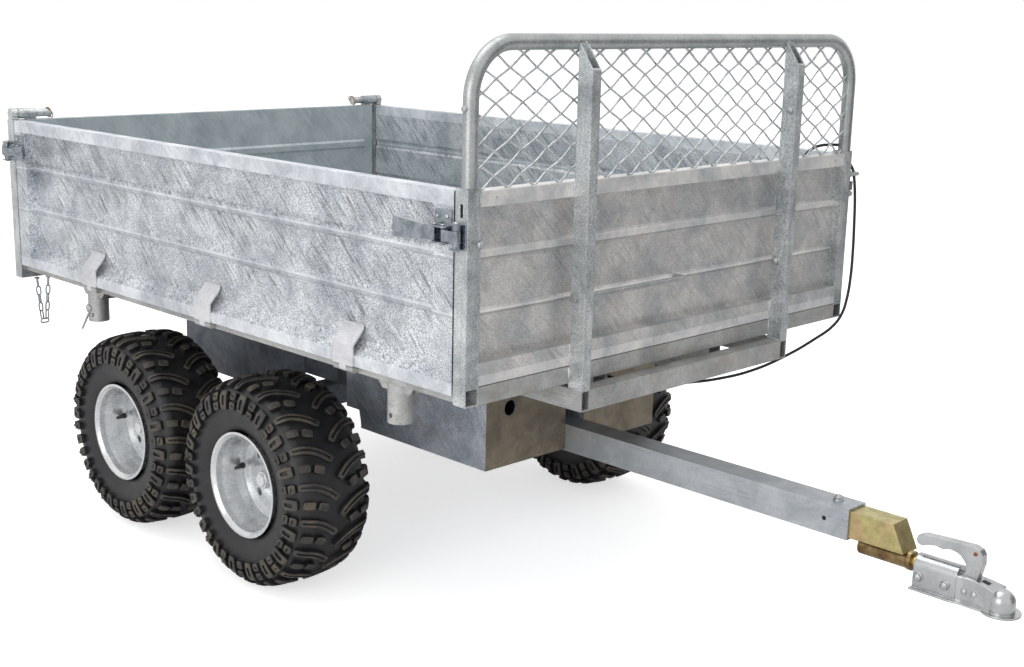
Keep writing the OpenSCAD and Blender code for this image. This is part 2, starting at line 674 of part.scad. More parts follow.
module chassis_frame() color(zinc_dark) ground_space() {
    z0 = chassis_z - chassis_tube;
    in_y = chassis_y - chassis_tube;
    back = -chassis_back;
    both_sides() tube_x([back, in_y, z0], [-box_front - box_l, chassis_y, chassis_z], chassis_t);
    // Cross members: [x of the rear face, x of the front face]
    front = -box_front - box_l;
    for (c = [[back, back + 40], [-foot_x - 80, -foot_x - 40], [front - 40, front]])
        tube_y([c[0], -in_y, z0], [c[1], in_y, chassis_z], chassis_t);
    // Saddle down to the drawbar
    span([front - 40, -bar_w / 2, bar_top], [front, bar_w / 2, z0]);
    // Side plates that carry the bogie axle
    both_sides() difference() {
        plate_y([[back, chassis_z], [back, z0 - 46], [back + 123, box_z0 + 18], [-bogie_x - 60, box_z0 + 18],
            [-bogie_x - 45, bogie_z - 45], [-bogie_x + 45, bogie_z - 45], [-bogie_x + 60, z0], [-bogie_x + 60, chassis_z]],
            chassis_y, chassis_y + plate_t);
        translate([-bogie_x, chassis_y, bogie_z]) rod_y(25.2, 30);
    }
    // Ears and pins of the tipping hinge
    both_sides() {
        for (y = [sill_y - sill_w / 2 - tip_ear_gap - 10, sill_y + sill_w / 2 + tip_ear_gap])
            plate_y([[-tip_x - 12, chassis_z], [-tip_x + 28, chassis_z], [-tip_x + 14, tip_z + 14],
                [-tip_x - 12, tip_z + 14]], y, y + 10);
        translate([-tip_x, sill_y, tip_z]) rod_y(tip_pin_r, sill_w + 2 * tip_ear_gap + 20);
    }
    // Ears and pin of the cylinder's foot
    both_sides() plate_y([[-foot_x - 80, z0], [-foot_x - 40, z0], [-foot_x + 20, foot_z + 12],
        [-foot_x + 20, foot_z - 20], [-foot_x - 20, foot_z - 20], [-foot_x - 80, z0 - 20]],
        eye_w / 2 + ear_gap, eye_w / 2 + ear_gap + ear_t);
    translate([-foot_x, 0, foot_z]) rod_y(10, eye_w + 2 * ear_gap + 2 * ear_t);
}

module bogie_axle() color(zinc_dark) ground_space() translate([-bogie_x, 0, bogie_z]) {
    span([-bogie_box / 2, -chassis_y, -bogie_box / 2], [bogie_box / 2, chassis_y, bogie_box / 2]);
    rod_y(25, 2 * (beam_y0 + beam_t + 6));
}

// Rocking beam with a stub axle at each end
module bogie_beam() translate([-bogie_x, 0, 0]) {
    half = axle_pitch / 2;
    difference() {
        plate_y([[-half - 30, axle_z - 28], [half + 30, axle_z - 28], [half + 30, axle_z + 28],
            [60, bogie_z + 42], [-60, bogie_z + 42], [-half - 30, axle_z + 28]], beam_y0, beam_y0 + beam_t);
        translate([0, beam_y0, bogie_z]) rod_y(25, 3 * beam_t);
    }
    for (s = [-1, 1]) translate([s * half, (stub_start + stub_end) / 2, axle_z])
        rod_y(stub_r, stub_end - stub_start);
}
module bogie_beam_left() color(zinc_dark) ground_space() bogie_beam();
module bogie_beam_right() color(zinc_dark) ground_space() mirror([0, 1, 0]) bogie_beam();

// Folded housing beside the drawbar; the shorter rear part has a higher floor
module power_box() translate([-box_front, 0, 0]) {
    y0 = bar_w / 2 + 1;
    t = chassis_t;
    outline = [[0, box_z0], [0, box_z1], [-box_l, box_z1], [-box_l, box_z0 + 50], [-box_l + 55, box_z0 + 50],
        [-box_l + 63, box_z0 + 12], [-box_l + 63, box_z0]];
    inner = [[-t, box_z0 + t], [-t, box_z1 - t], [-box_l + t, box_z1 - t], [-box_l + t, box_z0 + 50 + t],
        [-box_l + 66, box_z0 + 50 + t], [-box_l + 66 + t, box_z0 + t]];
    difference() {
        plate_y(outline, y0, chassis_y);
        plate_y(inner, y0 + t, chassis_y - t);
        children();
    }
}
module power_box_right() color(zinc) ground_space() mirror([0, 1, 0]) power_box()
    translate([0, 244, 509]) rod_x(box_hole_r, 30);
module power_box_left() color(zinc) ground_space() {
    power_box();
    // Gland of the control cable
    translate([-box_front + gland_l / 2, gland_at[0], gland_at[1]]) rod_x(8, gland_l);
}

module drawbar() color(zinc) ground_space()
    tube_x([-bogie_x + bogie_box / 2, -bar_w / 2, bar_top - bar_h], [bar_reach, bar_w / 2, bar_top], bar_t);

module hitch_insert() color(gold) ground_space() {
    z1 = insert_z0 + insert_h;
    x1 = bar_reach + insert_out;
    difference() {
        plate_y([[bar_reach - 160, insert_z0], [x1 + insert_slant, insert_z0], [x1, z1], [bar_reach - 160, z1]],
            -insert_s / 2, insert_s / 2);
        span([bar_reach - 170, -insert_s / 2 + 5, insert_z0 + 5], [x1 - 12, insert_s / 2 - 5, z1 - 5]);
    }
    difference() {
        union() {
            translate([swivel_x + swivel_l / 2, 0, swivel_z]) rod_x(swivel_r, swivel_l);
            translate([swivel_x + swivel_l - collar_l / 2, 0, swivel_z]) rod_x(swivel_r + 2, collar_l);
        }
        translate([swivel_x + swivel_l / 2 + 12, 0, swivel_z]) rod_x(shaft_r + run, swivel_l);
    }
}

module coupling_shaft() color(gold) ground_space() {
    x0 = swivel_x + 14;
    translate([(x0 + head_x + 60) / 2, 0, swivel_z]) rod_x(shaft_r, head_x + 60 - x0);
}

// Pressed head, open below: sleeve with a round top, narrower nose over the ball, and a flange
module coupling_head() color(silver) ground_space() translate([head_x, 0, head_z0]) {
    c = head_l - flange_r;
    shaft_z = swivel_z - head_z0;
    neck_y = sleeve_r - head_t;
    difference() {
        union() {
            translate([0, 0, shaft_z]) rotate([0, 90, 0]) cylinder(r = sleeve_r, h = sleeve_l);
            span([0, -sleeve_r, 0], [sleeve_l, sleeve_r, shaft_z]);
            // Nose: its side view, its plan and an arched top cut to one another
            intersection() {
                plate_y([[sleeve_l - 12, 0], [sleeve_l - 12, shaft_z + sleeve_r], [crease_x, shaft_z + head_top(crease_x)],
                    [nose_end, shaft_z + head_top(nose_end)], [c - 6, dome_z + dome_r - 3], [c - 6, 0]], -flange_r, flange_r);
                linear_extrude(2 * shaft_z) polygon([[sleeve_l - 12, sleeve_r], [crease_x, neck_y], [nose_end, neck_y + 1],
                    [c - 6, dome_r - 2], [c - 6, -dome_r + 2], [nose_end, -neck_y - 1], [crease_x, -neck_y],
                    [sleeve_l - 12, -sleeve_r]]);
                translate([0, 0, dome_z]) union() {
                    rotate([0, 90, 0]) cylinder(r = nose_arch_r, h = head_l);
                    span([0, -flange_r, -dome_z], [head_l, flange_r, 0]);
                }
            }
            cylinder_at(c, dome_r, dome_z);
            translate([c, 0, dome_z]) sphere(r = dome_r);
            // Flange: wide at the sleeve, drawn in at the crease, round at the ball
            linear_extrude(head_t) polygon([[-3, head_w / 2 + 8], [sleeve_l - 6, head_w / 2 + 8], [crease_x, head_w / 2 + 3],
                [c - 30, head_w / 2 + 4], [c, flange_r], [c, -flange_r], [c - 30, -head_w / 2 - 4],
                [crease_x, -head_w / 2 - 3], [sleeve_l - 6, -head_w / 2 - 8], [-3, -head_w / 2 - 8]]);
            cylinder_at(c, flange_r, head_t);
        }
        translate([-4, 0, shaft_z]) rotate([0, 90, 0]) cylinder(r = shaft_r, h = 64);
        translate([c, 0, dome_z]) sphere(r = ball_r + 0.5);
        translate([c, 0, -dome_r]) cylinder(r = ball_r + 0.5, h = dome_z + dome_r);
        span([70, -neck_y + head_t, -1], [c - 12, neck_y - head_t, shaft_z - 8]);
        // Slot behind the dome
        span([nose_end - 1, -9, shaft_z - 14], [nose_end + 16, 9, 2 * shaft_z]);
    }
}
module cylinder_at(x, r, h) translate([x, 0, 0]) cylinder(r = r, h = h);

// Cast handle: round grip with a swollen end and a wavy underside, and a neck down to the head
module coupling_handle() color(silver) ground_space() translate([head_x, 0, swivel_z]) intersection() {
    plate_y([[crease_x, head_top(crease_x)], [140, head_top(140)], [148, 40], [147, 62], [140, 72], [126, 77], [60, 74],
        [10, 71], [-3, 66], [-6, 56], [-2, 48], [8, 45], [20, 50], [40, 54], [56, 51], [74, 56], [92, 53],
        [104, 44], [crease_x, 34]], -head_t * 2.5, head_t * 2.5);
    union() {
        translate([-8, 0, 58]) rotate([0, 87, 0]) cylinder(r = 17, h = 160);
        span([100, -20, 0], [150, 20, 55]);
    }
}
// Height of the nose's top over the shaft's middle, at x ahead of the head's rear
function head_top(x) = 10 - (x - crease_x) / 9.5;

// Tyre: a carcass of revolution about Y with lugs standing on it, drawn at the wheel's centre
module tyre_solid() rotate([90, 0, 0]) {
    h = tyre_w / 2 - 14;
    s = rim_w / 2 - 14;
    r = carcass_r;
    rotate_extrude($fn = 96) polygon([[rim_r - 13, -s], [rim_r + 2, -s - 2], [rim_r + 30, -h + 4], [rim_r + 62, -h],
        [r - 38, -h + 3], [r - 16, -h + 14], [r - 5, -crown_y], [r, 0], [r - 5, crown_y],
        [r - 16, h - 14], [r - 38, h - 3], [rim_r + 62, h], [rim_r + 30, h - 4], [rim_r + 2, s + 2], [rim_r - 13, s],
        [rim_r + 10, s - 14], [rim_r + 50, s - 4], [r - 30, s - 10], [r - 14, 0], [r - 30, -s + 10],
        [rim_r + 50, -s + 4], [rim_r + 10, -s + 14]]);
    for (side = [0, 1], i = [0:lug_n - 1]) rotate([0, 0, (i + side / 2) * 360 / lug_n]) mirror([0, 0, side]) {
        // Long lug, slanting from the middle of the tread out to the shoulder
        translate([r - 9, 0, 8]) rotate([18, 0, 0]) rotate([0, -6, 0]) span([0, -9, 0], [20, 9, 96]);
        // Shoulder lug, half a pitch on
        rotate([0, 0, 180 / lug_n]) translate([r - 16, -16, h - 16]) rotate([0, 58, 0])
            span([-14, 0, -10], [34, 32, 12]);
    }
}
// Rim: flanges, deep barrel, disc and hub, with the outer face to +Y
module rim_solid() rotate([-90, 0, 0]) {
    w = rim_w / 2;
    d = disc_in;
    difference() {
        rotate_extrude($fn = 96) polygon([[rim_r, w], [rim_r - 6, w], [rim_r - 14, w - 8], [rim_r - 16, w - 24],
        [rim_r - 26, w - 60], [rim_r - 28, w - d + 6], [rim_r - 50, w - d], [30, w - d + 6], [30, w - d],
        [rim_r - 50, w - d - disc_t], [rim_r - 28, w - d - disc_t], [rim_r - 26, -w + 60], [rim_r - 16, -w + 24], [rim_r - 14, -w + 8],
        [rim_r - 6, -w], [rim_r, -w], [rim_r, -w + 3], [rim_r - 10, -w + 10], [rim_r - 13.3, -w + 14], [rim_r - 13.3, -w + 26],
        [rim_r - 22, -w + 62], [rim_r - 22, w - 62], [rim_r - 13.3, w - 26], [rim_r - 13.3, w - 14], [rim_r - 10, w - 10],
        [rim_r, w - 3]]);
        for (i = [0:hand_hole_n - 1]) rotate([0, 0, (i + 0.5) * 360 / hand_hole_n])
            translate([rim_r - 66, 0, w - d - 20]) cylinder(r = hand_hole_r, h = 40);
    }
    // Hub, washer and nut
    translate([0, 0, w - d - 40]) difference() {
        cylinder(r = hub_r, h = 46);
        translate([0, 0, -1]) cylinder(r = stub_r + run, h = 36);
    }
    translate([0, 0, w - d]) cylinder(r = hub_washer_r, h = 11);
    translate([0, 0, w - d]) cylinder(r = hub_nut_r, h = 30, $fn = 6);
    translate([0, 0, w - d]) cylinder(r = stub_r, h = 36);
}
// Wheel places: [x, side], side 1 on the left and -1 on the right
module wheel_at(axle, side) ground_space() translate([-axle, side * rim_y, axle_z])
    mirror([0, side > 0 ? 0 : 1, 0]) children();
module tyre_front_right() color(rubber) wheel_at(axle_front, -1) tyre_solid();
module tyre_rear_right() color(rubber) wheel_at(axle_rear, -1) tyre_solid();
module tyre_front_left() color(rubber) wheel_at(axle_front, 1) tyre_solid();
module tyre_rear_left() color(rubber) wheel_at(axle_rear, 1) tyre_solid();
module rim_front_right() color(silver) wheel_at(axle_front, -1) rim_solid();
module rim_rear_right() color(silver) wheel_at(axle_rear, -1) rim_solid();
module rim_front_left() color(silver) wheel_at(axle_front, 1) rim_solid();
module rim_rear_left() color(silver) wheel_at(axle_rear, 1) rim_solid();

// The cylinder lies along its own +X from the foot to the rod's eye
module cylinder_space() ground_space() translate([-foot_x, 0, foot_z]) rotate([0, -cyl_a, 0]) children();
module cylinder_barrel() color(zinc_dark) cylinder_space() difference() {
    union() {
        rod_y(eye_r, eye_w);
        span([0, -14, -14], [46, 14, 14]);
        translate([44, 0, 0]) rotate([0, 90, 0]) cylinder(r = barrel_r, h = barrel_l - 44);
    }
    rod_y(10 + run, eye_w + 2);
    translate([60, 0, 0]) rotate([0, 90, 0]) cylinder(r = piston_r + run, h = barrel_l);
}
module cylinder_rod() color(silver) cylinder_space() {
    translate([64, 0, 0]) rotate([0, 90, 0]) cylinder(r = piston_r, h = cyl_l - 64 - eye_r + 4);
    translate([cyl_l, 0, 0]) rod_y(eye_r, eye_w);
}

// Round tube swept along the cable's points, each ring square to the mean of the two stretches beside it
function unit(v) = v / norm(v);
function route_dir(p, i) = unit(unit(p[min(i + 1, len(p) - 1)] - p[min(i, len(p) - 2)])
    + unit(p[max(i, 1)] - p[max(i - 1, 0)]));
function smooth(p) = concat([p[0]], [for (i = [0:len(p) - 2], k = [1:3]) spline(p, i, k / 3)]);
function spline(p, i, t) = let (a = p[max(i - 1, 0)], b = p[i], c = p[i + 1], d = p[min(i + 2, len(p) - 1)])
    0.5 * (2 * b + (c - a) * t + (2 * a - 5 * b + 4 * c - d) * t * t + (3 * b - a - 3 * c + d) * t * t * t);
module swept(points, d, sides) {
    n = len(points);
    rings = [for (i = [0:n - 1]) let (t = route_dir(points, i), u = unit(cross(t, [1, 0.2, 0.1])), v = cross(t, u))
        [for (k = [0:sides - 1]) points[i] + d / 2 * (cos(360 * k / sides) * u + sin(360 * k / sides) * v)]];
    faces = concat([[for (k = [0:sides - 1]) k]], [[for (k = [sides - 1:-1:0]) (n - 1) * sides + k]],
        [for (i = [0:n - 2], k = [0:sides - 1]) let (a = i * sides, j = (k + 1) % sides)
            [a + k, a + sides + k, a + sides + j, a + j]]);
    polyhedron(points = [for (r = rings) each r], faces = faces, convexity = 4);
}
module control_cable() color(black) ground_space() swept(smooth(cable_route), cable_d, 8);

// Clip on the left front post and hanger for the control inside the front wall
module cable_fittings() color(zinc) ground_space() {
    clip_z = 1072;
    translate([1, half_w, clip_z]) difference() {
        span([-17, 0, -5], [11, 23, 5]);
        translate([0, 15, 0]) cylinder(r = cable_d / 2 + cable_play + 2, h = 40, center = true);
    }
    y = cable_route[0][1];
    span([-post_w - 3, y - 20, bed_z + board_top - 40], [-post_w, y + 20, bed_z + board_top]);
    span([-post_w - 3, y - 14, pendant_z - 110], [-post_w, y + 14, bed_z + board_top - 40]);
}
// Hand control on the cable's end
pendant_z = cable_route[0][2];
module control_pendant() color(black) ground_space() {
    y = cable_route[0][1];
    span([-post_w - 3 - 36, y - 22, pendant_z - 104], [-post_w - 3, y + 22, pendant_z - 10]);
    translate([cable_route[0][0], y, pendant_z - 10]) cylinder(r = 8, h = 10);
}

chassis_frame();
bogie_axle();
bogie_beam_right();
bogie_beam_left();
power_box_right();
power_box_left();
drawbar();
hitch_insert();
coupling_shaft();
coupling_head();
coupling_handle();
bed_frame();
bed_sills();
bed_floor();
front_wall();
corner_posts();
headboard_bow();
headboard_mesh();
uprights();
outrigger();
cross_rod();
leg_sockets();
tailgate_pins();
latch_catches();
hanging_chains();
side_board_right();
side_board_left();
side_straps_right();
side_straps_left();
side_latches_right();
side_latches_left();
tailgate();
tailgate_sleeves();
tyre_front_right();
tyre_rear_right();
tyre_front_left();
tyre_rear_left();
rim_front_right();
rim_rear_right();
rim_front_left();
rim_rear_left();
cylinder_barrel();
cylinder_rod();
control_cable();
control_pendant();
cable_fittings();
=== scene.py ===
import math

import bmesh
import bpy
from mathutils import Matrix, Vector


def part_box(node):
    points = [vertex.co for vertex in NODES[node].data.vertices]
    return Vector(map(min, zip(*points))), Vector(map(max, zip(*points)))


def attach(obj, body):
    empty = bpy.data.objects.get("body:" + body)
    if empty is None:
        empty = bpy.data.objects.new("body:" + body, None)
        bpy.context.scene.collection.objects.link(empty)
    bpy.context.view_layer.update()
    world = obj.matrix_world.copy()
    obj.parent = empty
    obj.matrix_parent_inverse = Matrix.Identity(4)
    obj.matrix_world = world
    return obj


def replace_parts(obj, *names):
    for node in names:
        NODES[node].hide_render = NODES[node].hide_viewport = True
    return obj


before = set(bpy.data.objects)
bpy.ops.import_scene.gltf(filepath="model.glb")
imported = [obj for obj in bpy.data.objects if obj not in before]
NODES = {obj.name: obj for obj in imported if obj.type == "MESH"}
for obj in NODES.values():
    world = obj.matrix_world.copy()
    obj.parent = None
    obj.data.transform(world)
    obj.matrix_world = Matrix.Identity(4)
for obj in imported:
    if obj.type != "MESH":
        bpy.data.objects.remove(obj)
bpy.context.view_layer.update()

# Places taken from the frame, in metres: the front posts' face, the tail, the bed frame's underside and the wheels
FRONT_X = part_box("corner_posts")[1].x
TAIL_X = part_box("corner_posts")[0].x
BED_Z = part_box("bed_floor")[0].z - 0.040
HALF_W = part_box("corner_posts")[1].y
HEAD_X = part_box("coupling_handle")[0].x + 0.006
SIDES = {"right": -1, "left": 1}


def middle(node):
    low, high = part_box(node)
    return (low + high) / 2


AXLES = {end: middle(f"rim_{end}_right").x for end in ("front", "rear")}
WHEEL_Y = 0.612
WHEEL_R = middle("rim_front_right").z
WHEEL_W = 0.260
RIM_R = 0.140

# Camera, solved from the photograph's edges. Metres and degrees.
CAMERA_AT = (FRONT_X + 2.0925, -2.685, 1.507)
CAMERA_TURN = (76.85, -1.31, 45.19)
LENS_MM = 49.7
SENSOR_MM = 36


def bed(x, y, z):
    """A place on the bed: millimetres from the front posts' face, the centre plane and the frame's underside."""
    return Vector((FRONT_X + x / 1000, y / 1000, BED_Z + z / 1000))


def linear(hex_colour):
    """An sRGB hex colour as linear RGBA."""
    parts = [int(hex_colour[i:i + 2], 16) / 255 for i in (1, 3, 5)]
    return tuple(c / 12.92 if c <= 0.04045 else ((c + 0.055) / 1.055) ** 2.4 for c in parts) + (1.0,)


def deselect():
    bpy.ops.object.select_all(action="DESELECT")


def activate(piece):
    deselect()
    piece.select_set(True)
    bpy.context.view_layer.objects.active = piece


def add_node(material, kind, inputs=None, **settings):
    """A node with its settings. An input is a value or another node's output."""
    added = material.node_tree.nodes.new(kind)
    for key, value in settings.items():
        setattr(added, key, value)
    for socket, value in (inputs or {}).items():
        if isinstance(value, bpy.types.NodeSocket):
            material.node_tree.links.new(value, added.inputs[socket])
        else:
            added.inputs[socket].default_value = value
    return added


def new_material(name):
    """An empty node material, with its shader and output."""
    material = bpy.data.materials.new(name)
    material.use_nodes = True
    material.node_tree.nodes.clear()
    shader = add_node(material, "ShaderNodeBsdfPrincipled")
    add_node(material, "ShaderNodeOutputMaterial", {"Surface": shader.outputs["BSDF"]})
    place = add_node(material, "ShaderNodeTexCoord").outputs["Object"]
    return material, shader, place


def ramp(material, factor, stops, interpolation="LINEAR"):
    """A colour ramp. Stops are (place, colour), a colour being a hex text or a grey number."""
    added = add_node(material, "ShaderNodeValToRGB", {"Fac": factor})
    added.color_ramp.interpolation = interpolation
    points = added.color_ramp.elements
    while len(points) < len(stops):
        points.new(0.5)
    for point, (position, colour) in zip(points, stops):
        point.position = position
        point.color = linear(colour) if isinstance(colour, str) else (colour, colour, colour, 1.0)
    return added.outputs["Color"]


def mix(material, factor, a, b, blend_type="MIX"):
    added = add_node(material, "ShaderNodeMix", {"Factor": factor}, data_type="RGBA", blend_type=blend_type)
    for socket, value in (("A", a), ("B", b)):
        target = [s for s in added.inputs if s.name == socket and s.type == "RGBA"][0]
        if isinstance(value, bpy.types.NodeSocket):
            material.node_tree.links.new(value, target)
        else:
            target.default_value = value
    return [s for s in added.outputs if s.type == "RGBA"][0]


def noise(material, vector, size_mm, detail=3.0, roughness=0.5, distortion=0.0):
    """Noise whose features measure about size_mm."""
    return add_node(material, "ShaderNodeTexNoise", {
        "Vector": vector, "Scale": 1000 / size_mm, "Detail": detail, "Roughness": roughness,
        "Distortion": distortion}).outputs["Fac"]


def dot(material, vector, axis):
    return add_node(material, "ShaderNodeVectorMath", {0: vector, 1: axis}, operation="DOT_PRODUCT").outputs["Value"]


def galvanised(name, light, dark, run, mottle=0.5, streak=0.5, metallic=0.65, rough=0.4, stain=0.0,
               brown_from=None, painted_light_bands=()):
    """Hot-dip galvanised steel: dipped in molten zinc, lifted on a slant and left to drain.
    It shows a fine grey mottle of crystals 2 to 6 mm wide, short drain streaks along `run`, wide cloudy
    patches, and where stain is more than 0 a brown tinge near the welds. Forward of brown_from the sheet is
    darker and browner, as on the front of the power box. Painted light bands are (low, high, tone) heights in
    millimetres from the bed's underside where a rail or a swage stands out of the sheet: where tone is above 1
    the band is a painted highlight, and where it is below 1 a painted shadow line."""
    material, shader, place = new_material(name)
    run = Vector(run).normalized()
    side = run.cross(Vector((0.577, 0.577, 0.577))).normalized()
    third = run.cross(side)
    drain = add_node(material, "ShaderNodeCombineXYZ", {
        "X": add_node(material, "ShaderNodeMath", {0: dot(material, place, run), 1: 0.085},
                      operation="MULTIPLY").outputs["Value"],
        "Y": dot(material, place, side), "Z": dot(material, place, third)}).outputs["Vector"]
    crystals = noise(material, place, 3.6, 3.0, 0.7)
    drains = noise(material, drain, 7.0, 3.0, 0.62, 0.3)
    clouds = noise(material, place, 110, 6.0, 0.7, 0.4)
    patches = ramp(material, noise(material, place, 90, 2.0), [(0.38, 0.15), (0.6, 1.0)])
    sheet = ramp(material, clouds, [(0.34, dark), (0.62, light)])
    speckle = ramp(material, crystals, [(0.36, 1 - 0.4 * mottle), (0.5, 0.95), (0.64, 1.0 + 0.16 * mottle)])
    colour = mix(material, 1.0, sheet, speckle, "MULTIPLY")
    lines = ramp(material, drains, [(0.38, 0.5), (0.46, 0.92), (0.56, 1.0), (0.64, 1.2)])
    strength = add_node(material, "ShaderNodeMath", {0: patches, 1: streak}, operation="MULTIPLY").outputs["Value"]
    colour = mix(material, strength, colour, lines, "MULTIPLY")
    if stain:
        rust = ramp(material, noise(material, place, 60, 5.0, 0.7), [(0.5, 0.0), (0.68, stain)])
        colour = mix(material, rust, colour, linear("#A8968A"))
    height_mm = dot(material, place, (0, 0, 1000))
    # Painted light: bands of painted highlight (tone above 1) and painted shadow line (tone below 1) at rails and
    # swages
    for low, high, tone in painted_light_bands:
        above = add_node(material, "ShaderNodeMath", {0: height_mm, 1: BED_Z * 1000 + low},
                         operation="GREATER_THAN").outputs["Value"]
        below = add_node(material, "ShaderNodeMath", {0: height_mm, 1: BED_Z * 1000 + high},
                         operation="LESS_THAN").outputs["Value"]
        inside = add_node(material, "ShaderNodeMath", {0: above, 1: below}, operation="MULTIPLY").outputs["Value"]
        calm = mix(material, 0.75, colour, sheet)
        colour = mix(material, inside, colour, mix(material, 1.0, calm, (tone, tone, tone, 1.0), "MULTIPLY"))
    if brown_from is not None:
        ahead = add_node(material, "ShaderNodeMath", {
            0: dot(material, place, (1, 0, 0)), 1: brown_from}, operation="GREATER_THAN").outputs["Value"]
        forward_tone = ramp(material, noise(material, place, 80, 5.0, 0.7, 0.4), [(0.36, 0.72), (0.6, 1.15)])
        forward_tone = mix(material, 1.0, linear("#7E7566"), forward_tone, "MULTIPLY")
        colour = mix(material, ahead, colour, forward_tone)
    dull = add_node(material, "ShaderNodeMapRange", {
        "Value": crystals, "From Min": 0.3, "From Max": 0.7, "To Min": rough - 0.08, "To Max": rough + 0.12})
    lifted = add_node(material, "ShaderNodeMath", {0: drains, 1: streak}, operation="MULTIPLY").outputs["Value"]
    height = add_node(material, "ShaderNodeMath", {0: lifted, 1: crystals}, operation="ADD").outputs["Value"]
    edges = add_node(material, "ShaderNodeBevel", {"Radius": 0.0022}, samples=4)
    relief = add_node(material, "ShaderNodeBump", {
        "Height": height, "Strength": 0.5, "Distance": 0.0012, "Normal": edges.outputs["Normal"]})
    for socket, value in (("Base Color", colour), ("Roughness", dull.outputs["Result"]),
                          ("Normal", relief.outputs["Normal"])):
        material.node_tree.links.new(value, shader.inputs[socket])
    shader.inputs["Metallic"].default_value = metallic
    return material


def plated(name, light, dark, rough, metallic=0.9, size_mm=30, tinge=None, brown_below=None):
    """Electroplated steel: an even bright coat with faint cloudy changes of tone. A tinge is the second
    colour of a passivated coat, which shows in wide soft patches. Below brown_below the coat is the darker
    brown one of the swivel's tube."""
    material, shader, place = new_material(name)
    clouds = noise(material, place, size_mm, 4.0, 0.6, 0.5)
    colour = ramp(material, clouds, [(0.35, dark), (0.62, light)])
    if tinge:
        patches = ramp(material, noise(material, place, 80, 3.0, 0.5, 0.6), [(0.46, 0.0), (0.66, 0.42)])
        colour = mix(material, patches, colour, linear(tinge))
    if brown_below is not None:
        under = add_node(material, "ShaderNodeMath", {
            0: dot(material, place, (0, 0, 1)), 1: brown_below}, operation="LESS_THAN").outputs["Value"]
        colour = mix(material, under, colour, ramp(material, clouds, [(0.35, "#665034"), (0.62, "#96805A")]))
    dull = add_node(material, "ShaderNodeMapRange", {
        "Value": noise(material, place, 14, 3.0), "From Min": 0.3, "From Max": 0.7,
        "To Min": rough - 0.06, "To Max": rough + 0.1})
    edges = add_node(material, "ShaderNodeBevel", {"Radius": 0.0028}, samples=6)
    relief = add_node(material, "ShaderNodeBump", {
        "Height": noise(material, place, 9, 2.0), "Strength": 0.1, "Distance": 0.0004,
        "Normal": edges.outputs["Normal"]})
    for socket, value in (("Base Color", colour), ("Roughness", dull.outputs["Result"]),
                          ("Normal", relief.outputs["Normal"])):
        material.node_tree.links.new(value, shader.inputs[socket])
    shader.inputs["Metallic"].default_value = metallic
    return material


def moulded_rubber(name, light, dark, dust, cover=0.2, rough=0.36):
    """Moulded tyre rubber: carbon black, a little waxy, with brown dust on what stands proud."""
    material, shader, place = new_material(name)
    grime = noise(material, place, 35, 5.0, 0.65)
    grain = noise(material, place, 1.6, 3.0)
    colour = ramp(material, grime, [(0.35, dark), (0.65, light)])
    dusty = ramp(material, noise(material, place, 60, 4.0, 0.7), [(0.45, 0.0), (0.72, cover)])
    colour = mix(material, dusty, colour, linear(dust))
    relief = add_node(material, "ShaderNodeBump", {"Height": grain, "Strength": 0.3, "Distance": 0.0004})
    dull = add_node(material, "ShaderNodeMapRange", {
        "Value": grime, "From Min": 0.3, "From Max": 0.7, "To Min": rough, "To Max": rough + 0.2})
    for socket, value in (("Base Color", colour), ("Roughness", dull.outputs["Result"]),
                          ("Normal", relief.outputs["Normal"])):
        material.node_tree.links.new(value, shader.inputs[socket])
    return material


# Drain directions: down and forward on the sides, down and to the left on the front wall and the tailgate
DOWN_FORWARD = (1, 0, -1)
DOWN_LEFT = (0, 1, -1)
UPRIGHT = (0, 0, 1)
ALONG = (1, 0, 0)
box_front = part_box("power_box_right")[1].x - 0.001
# Side and front sheets: painted highlight bands on the top rail, the swages and the bottom ledge, and painted shadow
# lines just below each swage
SHEET = galvanised("galvanised_side_sheet_drained_on_a_slant", "#E2E5E9", "#B0B5BC", DOWN_FORWARD, 1.6, 1.0,
                   painted_light_bands=[(425, 460, 1.14), (311, 316, 0.8), (316, 322, 1.12), (187, 192, 0.76), (192, 198, 1.06),
                          (0, 46, 1.08)])
WALL = galvanised("galvanised_front_sheet_duller", "#DEDBD8", "#B0B4B7", DOWN_LEFT, 0.7, 0.4, 0.6, 0.34, 0.22,
                  painted_light_bands=[(424, 460, 1.22), (310, 314, 0.7), (314, 330, 1.2), (190, 194, 0.7), (194, 199, 1.25),
                         (0, 64, 1.2)])
INNER = galvanised("galvanised_tailgate_sheet", "#C4CDCF", "#A9B3B8", DOWN_LEFT, 0.3, 0.3, 0.6, 0.42)
RAIL = galvanised("galvanised_top_rail_and_strap", "#E2E2E5", "#C6C7CB", ALONG, 0.35, 0.2, 0.6, 0.38)
TUBE = galvanised("galvanised_square_tube", "#DADDDE", "#A3A9AC", UPRIGHT, 1.1, 0.35, 0.75, 0.34)
LOW_TUBE = galvanised("galvanised_frame_tube_with_brown_drips", "#C0C1BF", "#9B9D9C", ALONG, 0.5, 0.35, 0.6, 0.44, 0.5)
ROUND_TUBE = galvanised("galvanised_round_tube", "#B8BBBA", "#9A9E9E", ALONG, 0.3, 0.1, 0.85, 0.3)
BAR = galvanised("galvanised_drawbar", "#C9CDD1", "#ABB0B6", ALONG, 0.3, 0.25, 0.75, 0.36)
DARK_ZINC = galvanised("dull_galvanised_chassis_steel", "#70777F", "#4A515A", DOWN_FORWARD, 0.5, 0.4, 0.7, 0.46, 0.2)
BOX_ZINC = galvanised("galvanised_spangled_box_sheet", "#E0E6F0", "#B0B9C6", DOWN_FORWARD, 0.9, 0.5, 0.7, 0.4, 0.3,
                      box_front)
BRIGHT = plated("bright_zinc_plated_steel", "#C0C2C3", "#ACAEB0", 0.27, 0.92, 60)
LATCH = plated("bright_zinc_plated_latch", "#A9B0B6", "#80888F", 0.22, 0.95, 22)
WIRE = plated("galvanised_woven_wire", "#D6D9D9", "#AEB2B3", 0.3, 0.8, 12)
